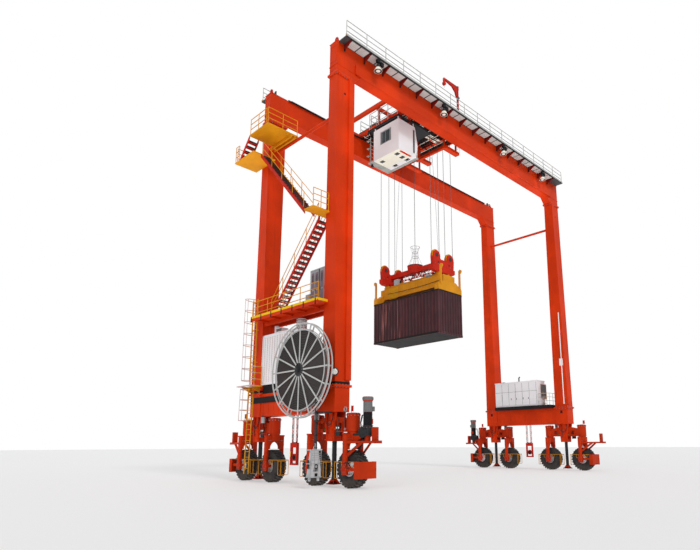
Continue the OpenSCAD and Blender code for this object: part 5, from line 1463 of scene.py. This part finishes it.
def add_camera(scene):
    yaw, pitch, roll = (math.radians(v) for v in CAMERA_TURN)
    ahead = Vector((math.sin(yaw) * math.cos(pitch), math.cos(yaw) * math.cos(pitch), math.sin(pitch)))
    right = Vector((math.cos(yaw), -math.sin(yaw), 0.0))
    up = right.cross(ahead)
    c, s = math.cos(roll), math.sin(roll)
    right, up = right * c + up * s, up * c - right * s
    width, height = PICTURE_PX
    data = bpy.data.cameras.new("camera")
    data.lens = FOCAL_PX * SENSOR / width
    data.sensor_width = SENSOR
    data.shift_x = (width / 2 - MIDDLE_PX[0]) / width
    data.shift_y = (MIDDLE_PX[1] - height / 2) / width
    data.clip_end = 2000.0
    camera = bpy.data.objects.new("camera", data)
    camera.matrix_world = Matrix((right, up, -ahead)).transposed().to_4x4()
    camera.location = CAMERA_PLACE
    scene.collection.objects.link(camera)
    scene.camera = camera


def floor_finish():
    """A matt pale floor that the camera sees a little brighter than it is lit."""
    f = Finish("pale_floor", 0.9)
    f.set_input("Base Color", (0.86, 0.86, 0.87, 1.0))
    glow, mixer, light = (f.nodes.new("ShaderNode" + kind) for kind in ("Emission", "MixShader", "LightPath"))
    glow.inputs["Color"].default_value = (1, 1, 1, 1)
    f.links.new(f.math("MULTIPLY", light.outputs["Is Camera Ray"], 0.35), mixer.inputs[0])
    f.links.new(f.shader.outputs[0], mixer.inputs[1])
    f.links.new(glow.outputs[0], mixer.inputs[2])
    f.links.new(mixer.outputs[0], f.nodes["Material Output"].inputs["Surface"])
    return f.mat


def add_floor(scene):
    floor = bpy.data.meshes.new("floor")
    size = 400.0
    corners = [(-size, -size, 0), (size, -size, 0), (size, size, 0), (-size, size, 0)]
    floor.from_pydata(corners, [], [(0, 1, 2, 3)])
    floor.materials.append(floor_finish())
    obj = bpy.data.objects.new("floor", floor)
    obj.visible_shadow = False
    scene.collection.objects.link(obj)


def add_sky(scene, strength):
    """White to the camera, in reflections and through glass, and softer as a light."""
    world = bpy.data.worlds.new("pale_sky")
    scene.world = world
    world.use_nodes = True
    nodes, links = world.node_tree.nodes, world.node_tree.links
    path = nodes.new("ShaderNodeLightPath")
    seen = path.outputs["Is Camera Ray"]
    for ray in ("Is Glossy Ray", "Is Transmission Ray"):
        either = nodes.new("ShaderNodeMath")
        either.operation = "MAXIMUM"
        links.new(seen, either.inputs[0])
        links.new(path.outputs[ray], either.inputs[1])
        seen = either.outputs[0]
    level = nodes.new("ShaderNodeMapRange")
    level.inputs["To Min"].default_value = strength
    level.inputs["To Max"].default_value = 1.0
    links.new(seen, level.inputs["Value"])
    nodes["Background"].inputs["Color"].default_value = (1.0, 1.0, 1.0, 1.0)
    links.new(level.outputs["Result"], nodes["Background"].inputs["Strength"])


def add_lamps(scene, key):
    """Each lamp: direction it comes from, strength and the angle that softens its shadow."""
    lamps = {"key": ((-0.15, -0.75, 0.62), key, 14), "fill": ((-0.9, -0.25, 0.35), 0.8, 50),
             "back": ((0.3, 0.9, 0.5), 0.4, 60), "bounce": ((-0.1, -0.1, -1.0), 2.4, 70)}
    for name, (direction, energy, angle) in lamps.items():
        lamp = bpy.data.lights.new(name, "SUN")
        lamp.energy = energy
        lamp.angle = math.radians(angle)
        holder = bpy.data.objects.new(name, lamp)
        holder.rotation_euler = Vector(direction).to_track_quat("Z", "Y").to_euler()
        scene.collection.objects.link(holder)


def build_stage(settings):
    scene = bpy.context.scene
    add_camera(scene)
    scene.view_settings.view_transform = "Standard"
    add_floor(scene)
    add_sky(scene, settings.sky)
    add_lamps(scene, settings.key)


# Add-on


class CraneSettings(bpy.types.PropertyGroup):
    """Colours and light that a user would change."""

    orange: bpy.props.FloatVectorProperty(
        name="Frame colour", description="Enamel of the portal frames, as display values",
        subtype="COLOR_GAMMA", size=3, min=0.0, max=1.0, default=(0.86, 0.225, 0.02))
    sky: bpy.props.FloatProperty(
        name="Sky level", description="Strength of the even light from all round",
        default=0.42, min=0.0, max=2.0)
    key: bpy.props.FloatProperty(
        name="Key level", description="Strength of the main lamp", default=1.15, min=0.0, max=8.0)


class CRANE_OT_finishes(bpy.types.Operator):
    """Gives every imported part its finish"""

    bl_idname = "crane.finishes"
    bl_label = "Finishes"

    def execute(self, context):
        make_finishes(tuple(round(c * 255) for c in context.scene.crane_settings.orange))
        finish_nodes()
        return {"FINISHED"}


class CRANE_OT_portal(bpy.types.Operator):
    """Adds bolts, lips, seams and trays to the portal frames"""

    bl_idname = "crane.portal"
    bl_label = "Portal frames"

    def execute(self, context):
        build_portal()
        return {"FINISHED"}


class CRANE_OT_walkways(bpy.types.Operator):
    """Adds panels, toe boards, lamps and the davit wire"""

    bl_idname = "crane.walkways"
    bl_label = "Walkways"

    def execute(self, context):
        build_walkways()
        return {"FINISHED"}


class CRANE_OT_wheels(bpy.types.Operator):
    """Makes the tyres, rims and nuts"""

    bl_idname = "crane.wheels"
    bl_label = "Wheels"

    def execute(self, context):
        build_wheels()
        return {"FINISHED"}


class CRANE_OT_bogies(bpy.types.Operator):
    """Adds bolts, cylinders, guards and motors to the bogies"""

    bl_idname = "crane.bogies"
    bl_label = "Bogies"

    def execute(self, context):
        build_bogies()
        return {"FINISHED"}


class CRANE_OT_anchors(bpy.types.Operator):
    """Adds rods, sleeves and canisters to the storm anchors"""

    bl_idname = "crane.anchors"
    bl_label = "Storm anchors"

    def execute(self, context):
        build_anchors()
        return {"FINISHED"}


class CRANE_OT_reel(bpy.types.Operator):
    """Winds the cable and adds rims, bolts and the guide's bands"""

    bl_idname = "crane.reel"
    bl_label = "Cable reel"

    def execute(self, context):
        build_reel()
        return {"FINISHED"}


class CRANE_OT_access(bpy.types.Operator):
    """Adds doors, louvres, treads and handrails"""

    bl_idname = "crane.access"
    bl_label = "Platforms and stairs"

    def execute(self, context):
        build_access()
        return {"FINISHED"}


class CRANE_OT_trolley(bpy.types.Operator):
    """Adds the floor grid, boxes and rope turns"""

    bl_idname = "crane.trolley"
    bl_label = "Trolley"

    def execute(self, context):
        build_trolley()
        return {"FINISHED"}


class CRANE_OT_cab(bpy.types.Operator):
    """Adds windows, frames, grilles and the seat"""

    bl_idname = "crane.cab"
    bl_label = "Cab"

    def execute(self, context):
        build_cab()
        return {"FINISHED"}


class CRANE_OT_load(bpy.types.Operator):
    """Adds ropes, sheaves, the basket and the container's gear"""

    bl_idname = "crane.load"
    bl_label = "Load"

    def execute(self, context):
        build_load()
        return {"FINISHED"}


class CRANE_OT_stage(bpy.types.Operator):
    """Adds the floor, the light and the camera"""

    bl_idname = "crane.stage"
    bl_label = "Stage"

    def execute(self, context):
        build_stage(context.scene.crane_settings)
        return {"FINISHED"}


OPERATORS = (
    CRANE_OT_finishes, CRANE_OT_portal, CRANE_OT_walkways, CRANE_OT_wheels, CRANE_OT_bogies,
    CRANE_OT_anchors, CRANE_OT_reel, CRANE_OT_access, CRANE_OT_trolley, CRANE_OT_cab, CRANE_OT_load,
    CRANE_OT_stage,
)


class CRANE_PT_panel(bpy.types.Panel):
    """Lists the settings and the steps in the order in which they run"""

    bl_idname = "CRANE_PT_panel"
    bl_label = "Crane"
    bl_space_type = "VIEW_3D"
    bl_region_type = "UI"
    bl_category = "Crane"

    def draw(self, context):
        for key in ("orange", "sky", "key"):
            self.layout.prop(context.scene.crane_settings, key)
        for cls in OPERATORS:
            self.layout.operator(cls.bl_idname)


CLASSES = (CraneSettings, *OPERATORS, CRANE_PT_panel)


def register():
    for cls in CLASSES:
        bpy.utils.register_class(cls)
    bpy.types.Scene.crane_settings = bpy.props.PointerProperty(type=CraneSettings)


def unregister():
    del bpy.types.Scene.crane_settings
    for cls in reversed(CLASSES):
        bpy.utils.unregister_class(cls)


def main():
    register()
    bpy.ops.crane.finishes()
    bpy.ops.crane.portal()
    bpy.ops.crane.walkways()
    bpy.ops.crane.wheels()
    bpy.ops.crane.bogies()
    bpy.ops.crane.anchors()
    bpy.ops.crane.reel()
    bpy.ops.crane.access()
    bpy.ops.crane.trolley()
    bpy.ops.crane.cab()
    bpy.ops.crane.load()
    bpy.ops.crane.stage()


if __name__ == "__main__":
    main()
